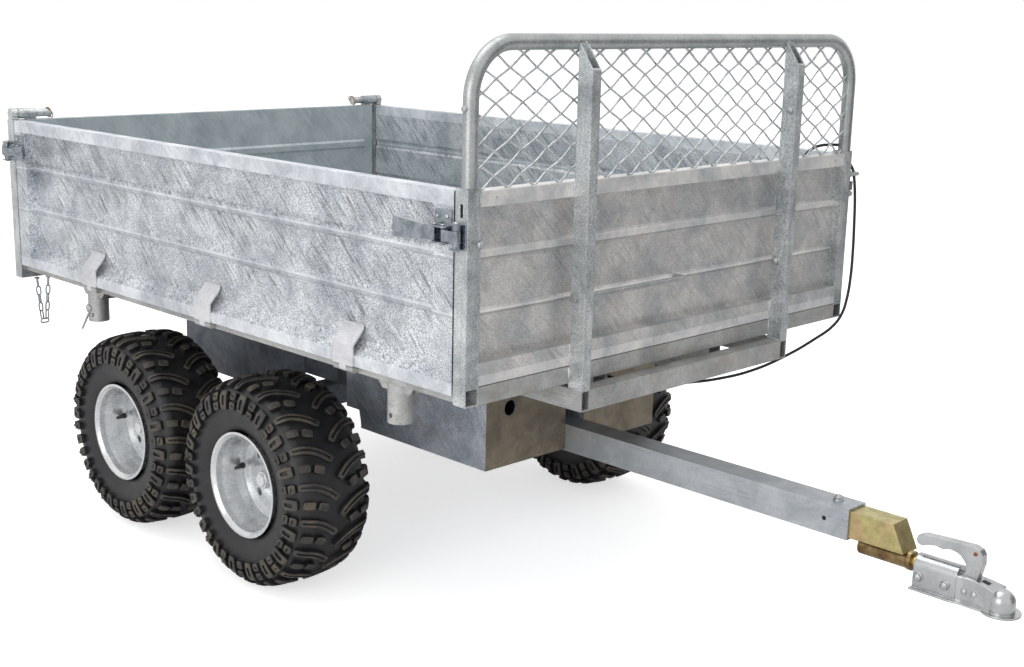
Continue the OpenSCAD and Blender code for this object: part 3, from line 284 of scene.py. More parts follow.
# The swivel's tube stands 20 mm round its pivot; what is above it is the bent insert.
SWIVEL_TOP = middle("coupling_shaft").z + 0.0185
YELLOW = plated("yellow_passivated_zinc_plate", "#C6B982", "#A09C66", 0.3, 0.85, 26, "#C99A84",
                SWIVEL_TOP)
BRONZE = plated("brown_passivated_zinc_plate", "#B88A48", "#8C6430", 0.3, 0.9, 14)
BRASS = plated("pale_gold_passivated_shaft", "#D6BE78", "#B79A52", 0.24, 0.95, 14)
RIM_PAINT = plated("silver_wheel_enamel", "#DCDEDF", "#CACCCE", 0.24, 0.7, 60)
RUBBER = moulded_rubber("moulded_tyre_rubber", "#222226", "#131316", "#4A4236")
# Lug tops and their chamfered rims: lighter rubber, partly brown dust and partly a painted highlight along the lug
# edges
LUG_TOP = moulded_rubber("dusty_lug_tops_with_painted_edge_highlight", "#42403C", "#2A2826", "#6E624E", 0.7, 0.46)
COPPER = plated("copper_rivet", "#A8603C", "#8A4A30", 0.35, 0.9, 10)
# A dark plate put in small holes and windows: painted shade of the hollow behind them
SHADE = plated("unlit_bore", "#2A2C2E", "#1E2022", 0.7, 0.2)
CABLE_SHEATH = moulded_rubber("black_cable_sheath", "#1B1B1D", "#101012", "#222222")

FINISHES = {
    SHEET: ["side_board_right", "side_board_left"],
    WALL: ["front_wall"],
    INNER: ["tailgate", "bed_floor"],
    RAIL: ["side_straps_right", "side_straps_left"],
    TUBE: ["corner_posts", "uprights", "tailgate_pins", "tailgate_sleeves", "cable_fittings"],
    LOW_TUBE: ["bed_frame", "bed_sills", "outrigger", "leg_sockets"],
    ROUND_TUBE: ["headboard_bow", "cross_rod"],
    BAR: ["drawbar"],
    WIRE: ["headboard_mesh", "hanging_chains"],
    BRIGHT: ["coupling_head", "coupling_handle", "cylinder_rod"],
    LATCH: ["latch_catches", "side_latches_right", "side_latches_left"],
    DARK_ZINC: ["chassis_frame", "bogie_axle", "bogie_beam_right", "bogie_beam_left", "cylinder_barrel"],
    BOX_ZINC: ["power_box_right", "power_box_left"],
    YELLOW: ["hitch_insert"],
    BRASS: ["coupling_shaft"],
    RUBBER: ["tyre_front_right", "tyre_rear_right", "tyre_front_left", "tyre_rear_left"],
    RIM_PAINT: ["rim_front_right", "rim_rear_right", "rim_front_left", "rim_rear_left"],
    CABLE_SHEATH: ["control_cable", "control_pendant"],
}


def finish_with(piece, material):
    piece.data.materials.clear()
    piece.data.materials.append(material)


for finish, names in FINISHES.items():
    for name in names:
        finish_with(NODES[name], finish)

# Camera
camera_data = bpy.data.cameras.new("photo_camera")
camera_data.lens = LENS_MM
camera_data.sensor_width = SENSOR_MM
camera = bpy.data.objects.new("photo_camera", camera_data)
bpy.context.scene.collection.objects.link(camera)
camera.location = CAMERA_AT
camera.rotation_euler = [math.radians(a) for a in CAMERA_TURN]
bpy.context.scene.camera = camera

# The control cable, over the top rail and down the left front post to the power box.
# Millimetres, as in the part: x from the front posts' face, y from the centre plane, z from the ground.
CABLE_D = 0.008
CABLE_ROUTE = [
    (-58, 560, 1070), (-58, 560, 1078), (-58, 560, 1088), (-57, 566, 1110), (-51, 588, 1138), (-45, 630, 1150), (-40, 675, 1150),
    (-38, 700, 1149), (-37, 712, 1147), (-35, 723, 1140), (-32, 730, 1130), (-27, 733, 1118),
    (-16, 735, 1100), (-4, 735, 1084), (1, 735, 1072), (3, 735, 1060), (5, 736, 1045), (8, 738, 1010),
    (9, 744, 930), (9, 748, 860), (10, 745, 780), (10, 734, 720), (10, 714, 680), (2, 686, 648),
    (-24, 636, 612), (-60, 565, 572), (-105, 460, 535), (-150, 372, 518), (-190, 300, 512),
    (-228, 232, 512), (-258, 178, 517), (-281, 142, 524), (-299, 125, 529), (-314, 120, 531),
    (-328.7, 120, 531)]

def control_cable():
    curve = bpy.data.curves.new("control_cable_run", "CURVE")
    curve.dimensions = "3D"
    curve.resolution_u = 6
    curve.bevel_depth = CABLE_D / 2
    curve.bevel_resolution = 4
    curve.use_fill_caps = True
    line = curve.splines.new("BEZIER")
    line.bezier_points.add(len(CABLE_ROUTE) - 1)
    for point, (x, y, z) in zip(line.bezier_points, reversed(CABLE_ROUTE)):
        point.co = (FRONT_X + x / 1000, y / 1000, z / 1000)
        point.handle_left_type = "AUTO"
        point.handle_right_type = "AUTO"
    cable = bpy.data.objects.new("control_cable_run", curve)
    bpy.context.scene.collection.objects.link(cable)
    curve.materials.append(CABLE_SHEATH)
    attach(cable, "bed")
    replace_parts(cable, "control_cable")
    return cable


cable = control_cable()


# Tyre
LUG_H = 0.013
CARCASS_R = WHEEL_R - LUG_H
CROWN_HALF = 0.074
CROWN_R = 0.55
SHOULDER_R = 0.042
SECTION_STEP = 0.002


def carcass_section():
    """The tyre's outer section from the middle of the tread to the bead: (across, radius, normal across,
    normal out) at every step."""
    points = []
    across, radius, angle = 0.0, CARCASS_R, 0.0
    stretches = [(CROWN_HALF, CROWN_R), (0.052, SHOULDER_R), (0.092, 0.125)]
    for length, bend_r in stretches:
        for _ in range(round(length / SECTION_STEP)):
            points.append((across, radius, math.sin(angle), math.cos(angle)))
            across += SECTION_STEP * math.cos(angle)
            radius -= SECTION_STEP * math.sin(angle)
            angle += SECTION_STEP / bend_r
    points.append((across, radius, math.sin(angle), math.cos(angle)))
    return points


SECTION = carcass_section()


def on_carcass(along, around, height):
    """A place on the tyre: along the section from the middle, around the tread in metres, and above the carcass."""
    side = -1 if along < 0 else 1
    place = min(abs(along) / SECTION_STEP, len(SECTION) - 1.001)
    low = int(place)
    share = place - low
    across, radius, lean, up = (a + (b - a) * share for a, b in zip(SECTION[low], SECTION[low + 1]))
    radius += up * height
    across += lean * height
    turn = around / WHEEL_R
    return Vector((math.sin(turn) * radius, side * across, math.cos(turn) * radius))


def join(pieces, name):
    deselect()
    for piece in pieces:
        piece.select_set(True)
    bpy.context.view_layer.objects.active = pieces[0]
    bpy.ops.object.join()
    joined = bpy.context.view_layer.objects.active
    joined.name = name
    return joined


RUBBER_T = 0.011
LUG_SINK = 0.002
PITCHES = 18
PITCH = 2 * math.pi * WHEEL_R / PITCHES


def rib(along):
    """Height of the two moulded rings on the side wall."""
    return 0.0016 if 0.146 < along < 0.151 or 0.196 < along < 0.199 else 0.0


def spun_shell(name, outline, steps):
    """A closed section outline, (across, radius) in metres, spun about the axle."""
    deselect()
    bpy.ops.mesh.primitive_circle_add(vertices=len(outline), radius=0.1)
    shell = bpy.context.view_layer.objects.active
    shell.name = name
    for vertex, (across, radius) in zip(shell.data.vertices, outline):
        vertex.co = (0, across, radius)
    bpy.ops.object.mode_set(mode="EDIT")
    bpy.ops.mesh.select_all(action="SELECT")
    bpy.ops.mesh.spin(steps=steps, angle=2 * math.pi, center=(0, 0, 0), axis=(0, 1, 0))
    bpy.ops.mesh.select_all(action="SELECT")
    bpy.ops.mesh.remove_doubles(threshold=0.00005)
    bpy.ops.mesh.normals_make_consistent(inside=False)
    bpy.ops.object.mode_set(mode="OBJECT")
    bpy.ops.object.shade_smooth_by_angle(angle=math.radians(40))
    return shell


def carcass():
    """The casing: its outer section and an inner wall, spun about the axle."""
    marks = [i * SECTION_STEP for i in range(0, len(SECTION), 2)]
    outer = []
    for along in [-m for m in reversed(marks[1:])] + marks:
        point = on_carcass(along, 0, rib(abs(along)))
        outer.append((point.y, point.z))
    inner = []
    for along in list(reversed(marks[::5])) + [-m for m in marks[5::5]]:
        point = on_carcass(along, 0, -RUBBER_T)
        inner.append((point.y, point.z))
    return spun_shell("tyre_casing", outer + inner, 144)


def raised_block(length, width, cuts, groove, groove_margin=0.27):
    """A flat tread block, x along its length: walls, a chamfered rim and a moulded groove in its top."""
    chamfer = 0.0016
    deselect()
    bpy.ops.mesh.primitive_grid_add(x_subdivisions=cuts, y_subdivisions=2, size=1)
    block = bpy.context.view_layer.objects.active
    for vertex in block.data.vertices:
        narrow = 1 - 0.22 * (abs(vertex.co.x) > 0.499)
        vertex.co = (vertex.co.x * length, vertex.co.y * width * narrow, 0)
    bpy.ops.object.mode_set(mode="EDIT")
    bpy.ops.mesh.select_all(action="SELECT")
    bpy.ops.mesh.extrude_region_move(
        TRANSFORM_OT_translate={"value": (0, 0, LUG_H + LUG_SINK - chamfer)})
    bpy.ops.mesh.inset(thickness=chamfer, depth=chamfer)
    if groove:
        bpy.ops.mesh.inset(thickness=width * groove_margin, depth=0)
        bpy.ops.mesh.inset(thickness=0.001, depth=-groove)
    bpy.ops.mesh.select_all(action="DESELECT")
    bpy.ops.mesh.select_mode(type="EDGE")
    bpy.ops.mesh.select_non_manifold(extend=False, use_wire=False, use_boundary=True, use_multi_face=False,
                                     use_non_contiguous=False, use_verts=False)
    bpy.ops.mesh.edge_face_add()
    bpy.ops.mesh.select_all(action="SELECT")
    bpy.ops.mesh.normals_make_consistent(inside=False)
    bpy.ops.object.mode_set(mode="OBJECT")
    block.data.materials.append(RUBBER)
    block.data.materials.append(LUG_TOP)
    # The top and the chamfered rim take the lighter lug-top rubber: dust, and a painted highlight along the rim
    for face in block.data.polygons:
        face.material_index = int(face.center.z > LUG_H + LUG_SINK - chamfer * 0.9)
    return block


def wrap(block, length, path):
    """Lays a flat block on the casing. The path gives (along, around) for a share of the block's length."""
    for vertex in block.data.vertices:
        share = vertex.co.x / length + 0.5
        here = Vector(path(share))
        ahead = Vector(path(share + 0.01)) - Vector(path(share - 0.01))
        across = Vector((-ahead.y, ahead.x)).normalized()
        here += across * vertex.co.y
        vertex.co = on_carcass(here.x, here.y, vertex.co.z - LUG_SINK)
    return block


def long_lug_path(share):
    """From the shoulder nearly straight across, then curving forward to the middle of the tread."""
    along = 0.104 - 0.098 * share
    return along, 0.046 * max(share, 0) ** 2.2


def straight_path(along, around, length, turn=0.0):
    """A straight path across the tread, its middle at (along, around)."""
    reach = length * math.cos(turn)
    return lambda share: (along - reach * (share - 0.5), around + length * math.sin(turn) * (share - 0.5))


# Tread blocks beside the long lug: name, length, width, groove, along, around as a share of the pitch, turn
BLOCKS = [
    ("shoulder_lug", 0.044, 0.034, 0.004, 0.131, 0.5, 0.0),
    ("shoulder_block_high", 0.017, 0.026, 0.003, 0.119, 0.02, 0.0),
    ("shoulder_block_low", 0.019, 0.028, 0.003, 0.142, 0.02, 0.0),
    ("oval_block_outer", 0.026, 0.021, 0.0, 0.084, 0.52, 0.15),
    ("oval_block_inner", 0.028, 0.022, 0.0, 0.048, 0.62, 0.4),
]


def tread_pitch():
    """One pitch of the tread on one side: the long lug, two oval blocks and the shoulder's lugs."""
    length = 0.112
    parts = [wrap(raised_block(length, 0.020, 14, 0.0035), length, long_lug_path)]
    for name, size, width, groove, along, share, turn in BLOCKS:
        block = raised_block(size, width, 4, groove)
        parts.append(wrap(block, size, straight_path(along, share * PITCH, size, turn)))
    pitch = join(parts, "tread_pitch")
    activate(pitch)
    bpy.ops.object.shade_smooth_by_angle(angle=math.radians(35))
    return pitch


def turned_copy(piece, name, matrix, flip=False):
    """A copy with its own mesh, its place in the mesh."""
    copy = piece.copy()
    copy.data = piece.data.copy()
    copy.name = name
    bpy.context.scene.collection.objects.link(copy)
    copy.data.transform(matrix)
    if flip:
        copy.data.flip_normals()
    return copy


def tyre():
    """A whole tyre about the origin, its axle along Y."""
    pitch = tread_pitch()
    casing = carcass()
    finish_with(casing, RUBBER)
    parts = [casing]
    for index in range(PITCHES):
        spin = Matrix.Rotation(2 * math.pi * index / PITCHES, 4, "Y")
        parts.append(turned_copy(pitch, f"outer_{index}", spin))
        spin = Matrix.Rotation(2 * math.pi * (index + 0.5) / PITCHES, 4, "Y")
        mirror = Matrix.Scale(-1, 4, (0, 1, 0))
        parts.append(turned_copy(pitch, f"inner_{index}", spin @ mirror, flip=True))
    bpy.data.objects.remove(pitch)
    return join(parts, "tyre_pattern")


def fit_tyres():
    pattern = tyre()
    for end, x in AXLES.items():
        for side_name, side in SIDES.items():
            place = Matrix.Translation((x, side * WHEEL_Y, WHEEL_R))
            name = f"treaded_tyre_{end}_{side_name}"
            piece = turned_copy(pattern, name, place @ Matrix.Rotation(0.31 * side + x, 4, "Y"))
            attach(piece, f"wheel_{end}_{side_name}")
            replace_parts(piece, f"tyre_{end}_{side_name}")
    bpy.data.objects.remove(pattern)


fit_tyres()


# Small parts. Each is modelled once about the origin, its axis along Z, and copied to its places.
def spin_profile(name, points, steps=24):
    """A solid of revolution: (radius, height) points that start and end on the axis."""
    deselect()
    bpy.ops.mesh.primitive_circle_add(vertices=len(points), radius=0.1)
    piece = bpy.context.view_layer.objects.active
    piece.name = name
    for vertex, (radius, height) in zip(piece.data.vertices, points):
        vertex.co = (radius, 0, height)
    bpy.ops.object.mode_set(mode="EDIT")
    bpy.ops.mesh.select_all(action="SELECT")
    bpy.ops.mesh.spin(steps=steps, angle=2 * math.pi, center=(0, 0, 0), axis=(0, 0, 1))
    bpy.ops.mesh.select_all(action="SELECT")
    bpy.ops.mesh.remove_doubles(threshold=0.00002)
    bpy.ops.mesh.delete_loose()
    bpy.ops.mesh.select_all(action="SELECT")
    bpy.ops.mesh.normals_make_consistent(inside=False)
    bpy.ops.object.mode_set(mode="OBJECT")
    bpy.ops.object.shade_smooth_by_angle(angle=math.radians(38))
    return piece


def bevelled(piece, width, segments=2):
    modifier = piece.modifiers.new("edge", "BEVEL")
    modifier.width = width
    modifier.segments = segments
    activate(piece)
    bpy.ops.object.modifier_apply(modifier=modifier.name)
    bpy.ops.object.shade_smooth_by_angle(angle=math.radians(38))
    return piece


def hex_bolt():
    """Hexagon head 17 mm across its flats on a washer, with a chamfered top."""
    washer = spin_profile("bolt_washer", [(0, 0), (0.0108, 0), (0.0108, 0.0015), (0.0102, 0.0021), (0, 0.0021)])
    deselect()
    bpy.ops.mesh.primitive_cylinder_add(vertices=6, radius=0.0098, depth=0.0068, location=(0, 0, 0.0052))
    head = bpy.context.view_layer.objects.active
    bpy.ops.object.transform_apply(location=True, rotation=False, scale=False)
    end = spin_profile("bolt_end", [(0, 0.005), (0.0048, 0.005), (0.0048, 0.0098), (0.004, 0.0108), (0, 0.0108)], 16)
    return join([bevelled(head, 0.0008), washer, end], "hex_bolt_pattern")


def dome(name, radius, height):
    """A rivet's or pin's domed head."""
    arc = [(radius * math.cos(math.radians(a)), height * (0.3 + 0.7 * math.sin(math.radians(a))))
           for a in range(0, 90, 15)]
    return spin_profile(name, [(0, 0), (radius, 0)] + arc + [(0, height)], 20)


def weld_pattern(length, radius):
    """A weld run: a rod with a ripple every 3 mm and round ends."""
    ripples = max(3, round(length / 0.003))
    points = [(0, 0)]
    for i in range(1, ripples * 4):
        share = i / (ripples * 4)
        ends = min(1, 5 * share, 5 * (1 - share)) ** 0.5
        points.append((radius * ends * (0.86 + 0.14 * abs(math.sin(math.pi * i / 4))), length * share))
    return spin_profile("weld_run", points + [(0, length)], 12)


def ring_pattern(name, radius, wire, stretch=0.0):
    """A round wire ring in the XZ plane, or a chain link when it is stretched along Z."""
    deselect()
    bpy.ops.mesh.primitive_torus_add(major_segments=28, minor_segments=10, major_radius=radius, minor_radius=wire,
                                     rotation=(math.pi / 2, 0, 0))
    ring = bpy.context.view_layer.objects.active
    ring.name = name
    bpy.ops.object.transform_apply(location=False, rotation=True, scale=False)
    for vertex in ring.data.vertices:
        vertex.co.z += math.copysign(stretch / 2, vertex.co.z) if abs(vertex.co.z) > 1e-6 else 0
    bpy.ops.object.shade_smooth()
    return ring


def towards(direction):
    return Vector(direction).to_track_quat("Z", "Y").to_matrix().to_4x4()


def put(pattern, at, direction=(0, 0, 1), turn=0.0, scale=1.0):
    """A copy of a small part at a place, its axis along a direction."""
    matrix = Matrix.Translation(at) @ towards(direction) @ Matrix.Rotation(turn, 4, "Z") @ Matrix.Scale(scale, 4)
    return turned_copy(pattern, "copy", matrix)


def fasten(name, parts, material, body):
    """Joins small parts that ride one body."""
    piece = join(parts, name)
    finish_with(piece, material)
    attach(piece, body)
    return piece


BOLT = hex_bolt()
RIVET = dome("rivet_pattern", 0.0055, 0.0032)
PIN_CAP = dome("pin_cap_pattern", 0.0062, 0.0026)
WASHER = spin_profile("washer_pattern", [(0, 0), (0.012, 0), (0.012, 0.0014), (0.0113, 0.002), (0, 0.002)])


def weld(a, b, radius=0.0032):
    """A weld run from one place to another."""
    a, b = Vector(a), Vector(b)
    pattern = weld_pattern((b - a).length, radius)
    run = put(pattern, a, b - a)
    bpy.data.objects.remove(pattern)
    return run


# Woven wire of the headboard. The weave's nodes stand half a cell apart, and each wire passes in front of
# one crossing wire and behind the next.
CELL_W, CELL_H = 79, 50
WIRE_R = 2.5
BOW_X, BOW_Y, BOW_Z, BOW_BEND = -15, 702, 759, 115
RAIL_TOP = 458


def in_window(y, z):
    over, up = abs(y) - (BOW_Y - BOW_BEND), z - (BOW_Z - BOW_BEND)
    if over > 0 and up > 0:
        return math.hypot(over, up) < BOW_BEND
    return abs(y) < BOW_Y and RAIL_TOP - 3 < z < BOW_Z


def woven_mesh():
    curve = bpy.data.curves.new("woven_wire", "CURVE")
    curve.dimensions = "3D"
    curve.bevel_depth = WIRE_R / 1000
    curve.bevel_resolution = 1
    curve.use_fill_caps = True
    half_count = round(BOW_Y / CELL_W) + 8
    for lean in (1, -1):
        for line in range(-half_count, half_count):
            points = []
            for step in range(-4, 60):
                share = step / 4
                y = (1 + 2 * line + lean * share) * CELL_W / 2
                z = RAIL_TOP + share * CELL_H / 2
                if in_window(y, z):
                    points.append(bed(BOW_X + lean * WIRE_R * math.cos(math.pi * share), y, z))
            if len(points) < 3:
                continue
            run = curve.splines.new("POLY")
            run.points.add(len(points) - 1)
            for point, place in zip(run.points, points):
                point.co = (*place, 1)
    wires = bpy.data.objects.new("woven_headboard_mesh", curve)
    bpy.context.scene.collection.objects.link(wires)
    activate(wires)
    bpy.ops.object.convert(target="MESH")
    wires = bpy.context.view_layer.objects.active
    bpy.ops.object.shade_smooth()
    finish_with(wires, WIRE)
    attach(wires, "bed")
    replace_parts(wires, "headboard_mesh")


# Chains: two strands that lean to one bottom link, at each rear corner
LINK_PITCH, LINK_N, STRAND_GAP, LINK_W, LINK_L = 26, 5, 38, 16, 30


def chains():
    link = ring_pattern("chain_link_pattern", 0.006, 0.0024, (LINK_L - LINK_W) / 1000)
    holder = spin_profile("chain_eye", [(0, 0), (0.008, 0), (0.008, 0.003), (0.005, 0.006), (0, 0.006)], 16)
    parts = []
    for side in SIDES.values():
        top = bed(-2045 + 38 + LINK_W, side * 660, -25)
        lean = math.atan2(STRAND_GAP / 2 - LINK_W / 2, LINK_N * LINK_PITCH)
        for strand in (-1, 1):
            start = top + Vector((0, strand * STRAND_GAP / 2000, 0))
            tilt = Matrix.Rotation(-strand * lean, 4, "X")
            parts.append(put(holder, start, (0, 0, -1)))
            for i in range(LINK_N):
                drop = Matrix.Translation((0, 0, -(17 + i * LINK_PITCH) / 1000))
                spin = Matrix.Rotation(math.pi / 2 * (i % 2) + 0.12 * (i - 2), 4, "Z")
                parts.append(turned_copy(link, "copy", Matrix.Translation(start) @ tilt @ drop @ spin))
        low = Matrix.Translation(top + Vector((0, 0, -0.140)))
        flat = Matrix.Rotation(math.pi / 2, 4, "X") @ Matrix.Rotation(math.pi / 2, 4, "Z")
        parts.append(turned_copy(link, "copy", low @ flat))
    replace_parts(fasten("round_link_chains", parts, LATCH, "bed"), "hanging_chains")
    for pattern in (link, holder):
        bpy.data.objects.remove(pattern)


# Latches: the side board's plate and pins, the post's roller
LATCH_Z = 366
LATCH_X = {"front": (-46, -1), "rear": (-1999, 1)}


def latch_parts():
    for name, side in SIDES.items():
        out = (0, side, 0)
        boards, posts = [], []
        for x, away in LATCH_X.values():
            boards.append(put(RIVET, bed(x + away * 14, side * 723, LATCH_Z + 36), out))
            boards.append(put(RIVET, bed(x + away * 44, side * 723, LATCH_Z + 34), out, scale=0.8))
            for share in (0.25, 0.75):
                for up in (-1, 1):
                    at = bed(x + away * share * 52, side * (720 + 26 * 0.55), LATCH_Z + up * 20)
                    boards.append(put(PIN_CAP, at, (0, 0, up)))
            for up in (-1, 1):
                at = bed(x - away * 27, side * 734, LATCH_Z + up * 28)
                posts.append(put(WASHER, at, (0, 0, up), scale=0.75))
                posts.append(put(PIN_CAP, at + Vector((0, 0, up * 0.0014)), (0, 0, up)))
                posts.append(put(RIVET, bed(x - away * (27 - 9), side * 723, LATCH_Z + up * 24), out, scale=0.7))
        fasten(f"latch_rivets_{name}", boards, BRIGHT, f"side_{name}")
        fasten(f"catch_rivets_{name}", posts, BRIGHT, "bed")


# Coupling: two bolts through the shaft, two rivets in the nose, one in the handle
def coupling_parts():
    ground = middle("coupling_shaft").z
    parts, copper = [], []
    for side in (-1, 1):
        out = (0, side, 0)
        for x in (13, 76):
            parts.append(put(BOLT, (HEAD_X + x / 1000, side * 0.024, ground - 0.022), out, 0.3 + x))
        for x, y in ((118, 20), (141, 20.6)):
            parts.append(put(RIVET, (HEAD_X + x / 1000, side * y / 1000, ground - 0.024), out, scale=1.25))
        copper.append(put(RIVET, (HEAD_X + 0.131, side * 0.0098, ground + 0.062), out, scale=0.8))
    fasten("coupling_bolts", parts, BRIGHT, "coupling")
    fasten("handle_rivet", copper, COPPER, "coupling")


# Drawbar: clamp bolts through the insert from above, and the end of one below
def drawbar_parts():
    low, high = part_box("drawbar")
    parts = [put(BOLT, (high.x - 0.052, 0.004, high.z), (0, 0, 1), 0.4, 1.15),
             put(BOLT, (high.x - 0.052, 0.004, low.z), (0, 0, -1), 0.4, 0.9)]
    fasten("drawbar_bolts", parts, BRIGHT, "chassis")
    # Each side's bolt hole is a thin dark disc, painted shade of the bore, with a rolled lip round it
    hole = spin_profile("bolt_hole", [(0, 0), (0.0055, 0), (0.0055, 0.0004), (0, 0.0004)])
    lip = ring_pattern("hole_lip", 0.0058, 0.0006)
    places = [((high.x - x, side * high.y, middle("drawbar").z), (0, side, 0))
              for x in (0.062,) for side in (-1, 1)]
    fasten("drawbar_hole_shade", [put(hole, at, way) for at, way in places], SHADE, "chassis")
    turned = Matrix.Identity(4)
    lips = [turned_copy(lip, "copy", Matrix.Translation(at) @ turned) for at, _ in places]
    fasten("drawbar_hole_lips", lips, BAR, "chassis")
    for pattern in (hole, lip):
        bpy.data.objects.remove(pattern)


# Tailgate pins: a lynch ring through the inner end of each
def lynch_rings():
    ring = ring_pattern("lynch_ring", 0.017, 0.0016)
    parts = []
    for side in SIDES.values():
        at = bed(-2026, side * 592, 477)
        parts.append(turned_copy(ring, "copy", Matrix.Translation(at) @ Matrix.Rotation(math.radians(25), 4, "X")))
    fasten("lynch_rings", parts, BRONZE, "bed")
    bpy.data.objects.remove(ring)


# Rear leg sockets: a ringed eye, a second small bolt and a slanting pin
def socket_parts():
    ring = ring_pattern("eye_ring", 0.011, 0.0022)
    pin = spin_profile("socket_pin", [(0, 0), (0.003, 0), (0.0034, 0.0006), (0.0034, 0.094), (0.002, 0.096),
                                      (0, 0.096)], 14)
    parts = []
    for side in SIDES.values():
        at = bed(-1651, side * 688, -66)
        parts.append(turned_copy(ring, "copy", Matrix.Translation(at + Vector((-0.004, side * 0.001, 0)))))
        parts.append(put(RIVET, at + Vector((-0.004, -side * 0.001, 0)), (0, side, 0), scale=1.1))
        parts.append(put(BOLT, at + Vector((0.011, -side * 0.002, -0.018)), (0, side, 0), scale=0.55))
        parts.append(put(pin, bed(-1651 - 12, side * 676, -66), (-0.62, 0, -0.78)))
    fasten("socket_pins", parts, BRIGHT, "bed")
    for pattern in (ring, pin):
        bpy.data.objects.remove(pattern)


# Wheels: tyre valve in the rim's barrel
def valves():
    stem = spin_profile("tyre_valve", [(0, 0), (0.0085, 0), (0.008, 0.006), (0.0055, 0.010), (0.0052, 0.022),
                                       (0.0042, 0.023), (0.0042, 0.031), (0.003, 0.0325), (0, 0.0325)], 18)
    for end, x in AXLES.items():
        for name, side in SIDES.items():
            at = (x - 0.102, side * (WHEEL_Y + 0.030), WHEEL_R + 0.012)
            fasten(f"tyre_valve_{end}_{name}", [put(stem, at, (0.25, side, 0))], CABLE_SHEATH,
                   f"wheel_{end}_{name}")
    bpy.data.objects.remove(stem)


# Weld runs of the bed: places in millimetres, drawn for the left and mirrored
WELDS = [
    ((1, 400, 458), (1, 400, 430), 2.6), ((1, 372, 458), (1, 372, 430), 2.6),
    ((1, 400, 92), (1, 400, 62), 2.6), ((1, 372, 92), (1, 372, 62), 2.6),
    ((1, 400, 38), (1, 400, 8), 2.6), ((1, 372, 38), (1, 372, 8), 2.6),
    ((4, 373, -10), (40, 373, -10), 2.8), ((4, 399, -10), (40, 399, -10), 2.8),
    ((-1, 683, 424), (-1, 683, 452), 2.2), ((-1, 683, 45), (-1, 683, 90), 2.2),
    ((-251, 628, -4), (-275, 640, -3), 4.0), ((-287, 640, -3), (-311, 628, -4), 4.0),
    ((-262, 684, -3), (-300, 684, -3), 4.0), ((-1632, 684, -3), (-1670, 684, -3), 4.0),
    ((-15, 686, 464), (-15, 718, 464), 3.0), ((-30, 700, 464), (0, 700, 464), 3.0),
    ((-29, 560, 93), (-29, 545, 93), 2.4), ((-29, 300, 93), (-29, 240, 93), 2.4), ((-29, 90, 93), (-29, 60, 93), 2.4),
    ((-40, 380, 759), (6, 380, 758), 2.6),
]


def bed_welds():
    parts = []
    for start, end, radius in WELDS:
        for side in SIDES.values():
            a, b = (bed(x, side * y, z) for x, y, z in (start, end))
            parts.append(weld(a, b, radius / 1000))
    fasten("bed_weld_runs", parts, TUBE, "bed")


def headboard_bolts():
    parts = [put(BOLT, bed(27, 372, 588), (0, -1, 0), 0.2), put(BOLT, bed(27, 400, 588), (0, 1, 0), 0.5, 0.8)]
    for side in SIDES.values():
        parts.append(put(BOLT, bed(-15, side * 718, 626), (0, side, 0), 0.3, 0.7))
        parts.append(put(BOLT, bed(14, side * 697, 350), (0, side, 0), 0.1, 0.8))
        parts.append(put(RIVET, bed(0, side * 640, 442), (1, 0, 0), scale=0.7))
    parts.append(put(BOLT, bed(12, 372, 199), (0, -1, 0), 0.3, 1.1))
    fasten("headboard_bolts", parts, BRIGHT, "bed")


# Straps: a small square window with a rolled rim in each, and in it a thin dark pane, painted shade of the opening
STRAP_X = (-410, -995, -1580)


def strap_windows():
    deselect()
    bpy.ops.mesh.primitive_cube_add(size=0.012)
    pane = bpy.context.view_layer.objects.active
    for vertex in pane.data.vertices:
        vertex.co.y *= 0.08
    bevelled(pane, 0.0004)
    rim = ring_pattern("window_rim", 0.0082, 0.0012)
    for vertex in rim.data.vertices:
        reach = max(abs(vertex.co.x), abs(vertex.co.z), 1e-6)
        vertex.co *= math.hypot(vertex.co.x, vertex.co.z) / reach * 0.92
    for name, side in SIDES.items():
        places = [bed(x - 4, side * 691.3, 92) for x in STRAP_X]
        panes = [turned_copy(pane, "copy", Matrix.Translation(at)) for at in places]
        rims = [turned_copy(rim, "copy", Matrix.Translation(at)) for at in places]
        fasten(f"strap_window_shade_{name}", panes, SHADE, f"side_{name}")
        fasten(f"strap_window_rims_{name}", rims, RAIL, f"side_{name}")
    for pattern in (pane, rim):
        bpy.data.objects.remove(pattern)


for make in (woven_mesh, chains, latch_parts, coupling_parts, drawbar_parts, lynch_rings, socket_parts, valves,
             bed_welds, headboard_bolts, strap_windows):
    make()
for pattern in (BOLT, RIVET, PIN_CAP, WASHER):
    bpy.data.objects.remove(pattern)


def is_seen_white(tree, *rays):
    """1 for the kinds of rays named, 0 for others."""
    path = tree.nodes.new("ShaderNodeLightPath")
    total = path.outputs[rays[0]]
    for ray in rays[1:]:
        larger = tree.nodes.new("ShaderNodeMath")
        larger.operation = "MAXIMUM"
        tree.links.new(total, larger.inputs[0])
        tree.links.new(path.outputs[ray], larger.inputs[1])
        total = larger.outputs["Value"]
    return total


def lamp(name, at, target, size, power):
    data = bpy.data.lights.new(name, "AREA")
    data.shape = "SQUARE"
    data.size = size
    data.energy = power
    made = bpy.data.objects.new(name, data)
    bpy.context.scene.collection.objects.link(made)
    made.location = at
    made.rotation_euler = (Vector(target) - Vector(at)).to_track_quat("-Z", "Y").to_euler()


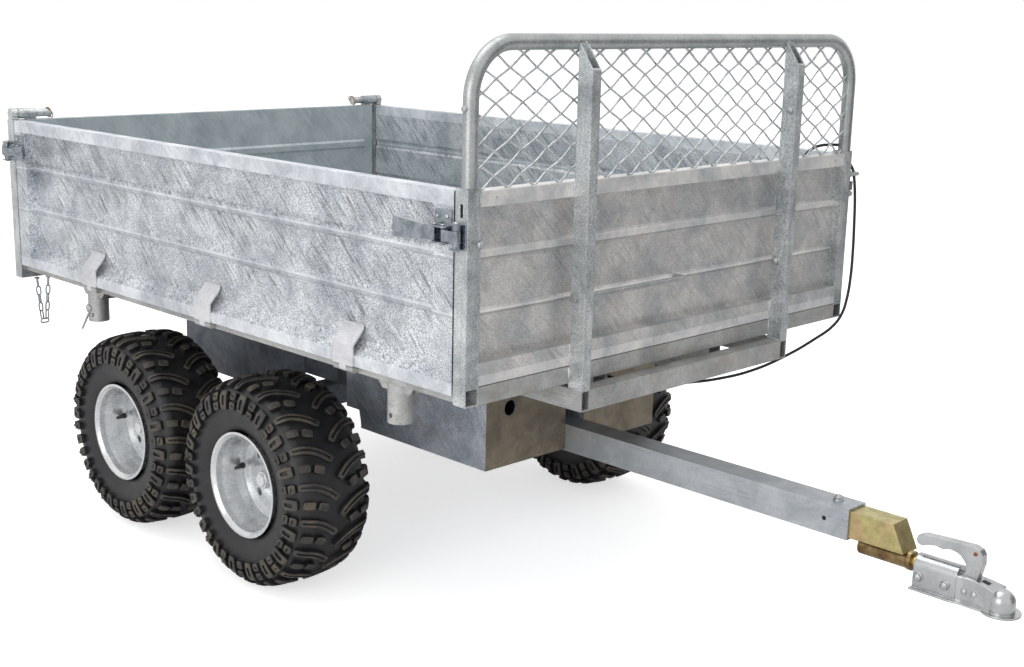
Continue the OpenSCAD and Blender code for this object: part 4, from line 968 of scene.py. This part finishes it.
def stage():
    """Plain white floor and backdrop, soft lights, and a dark card that shades what faces forward."""
    deselect()
    bpy.ops.mesh.primitive_plane_add(size=60, location=(0, 0, 0))
    floor = bpy.context.view_layer.objects.active
    floor.name = "studio_floor"
    material, shader, place = new_material("matt_white_floor")
    shader.inputs["Base Color"].default_value = linear("#F2F2F2")
    shader.inputs["Roughness"].default_value = 0.9
    shader.inputs["Emission Color"].default_value = (1, 1, 1, 1)
    tree = material.node_tree
    lift = tree.nodes.new("ShaderNodeMath")
    lift.operation = "MULTIPLY"
    tree.links.new(is_seen_white(tree, "Is Camera Ray"), lift.inputs[0])
    lift.inputs[1].default_value = 0.62
    tree.links.new(lift.outputs["Value"], shader.inputs["Emission Strength"])
    finish_with(floor, material)

    deselect()
    bpy.ops.mesh.primitive_plane_add(size=1, location=(0, 0, 0))
    card = bpy.context.view_layer.objects.active
    card.name = "dark_card"
    for vertex in card.data.vertices:
        along, up = vertex.co.x, vertex.co.y
        vertex.co = (3.5 - 2.2 * along, 2.6 + 3.2 * along, 1.2 + 3.0 * up)
    card_material, card_shader, _ = new_material("dark_grey_card")
    card_shader.inputs["Base Color"].default_value = linear("#8C8D8E")
    card_shader.inputs["Roughness"].default_value = 0.9
    finish_with(card, card_material)
    card.visible_camera = False

    world = bpy.data.worlds.new("studio_light")
    bpy.context.scene.world = world
    world.use_nodes = True
    tree = world.node_tree
    tree.nodes.clear()
    strength = tree.nodes.new("ShaderNodeMapRange")
    tree.links.new(is_seen_white(tree, "Is Camera Ray", "Is Glossy Ray", "Is Transmission Ray"),
                   strength.inputs["Value"])
    strength.inputs["To Min"].default_value = 0.8
    strength.inputs["To Max"].default_value = 1.0
    background = tree.nodes.new("ShaderNodeBackground")
    background.inputs["Color"].default_value = (1, 1, 1, 1)
    tree.links.new(strength.outputs["Result"], background.inputs["Strength"])
    output = tree.nodes.new("ShaderNodeOutputWorld")
    tree.links.new(background.outputs["Background"], output.inputs["Surface"])
    lamp("overhead_softbox", (-0.4, -0.6, 4.6), (-0.2, 0, 0.5), 3.4, 70)
    lamp("side_softbox", (1.2, -4.6, 2.0), (0.0, 0, 0.7), 2.6, 52)


stage()
bpy.context.scene.view_settings.view_transform = "Standard"
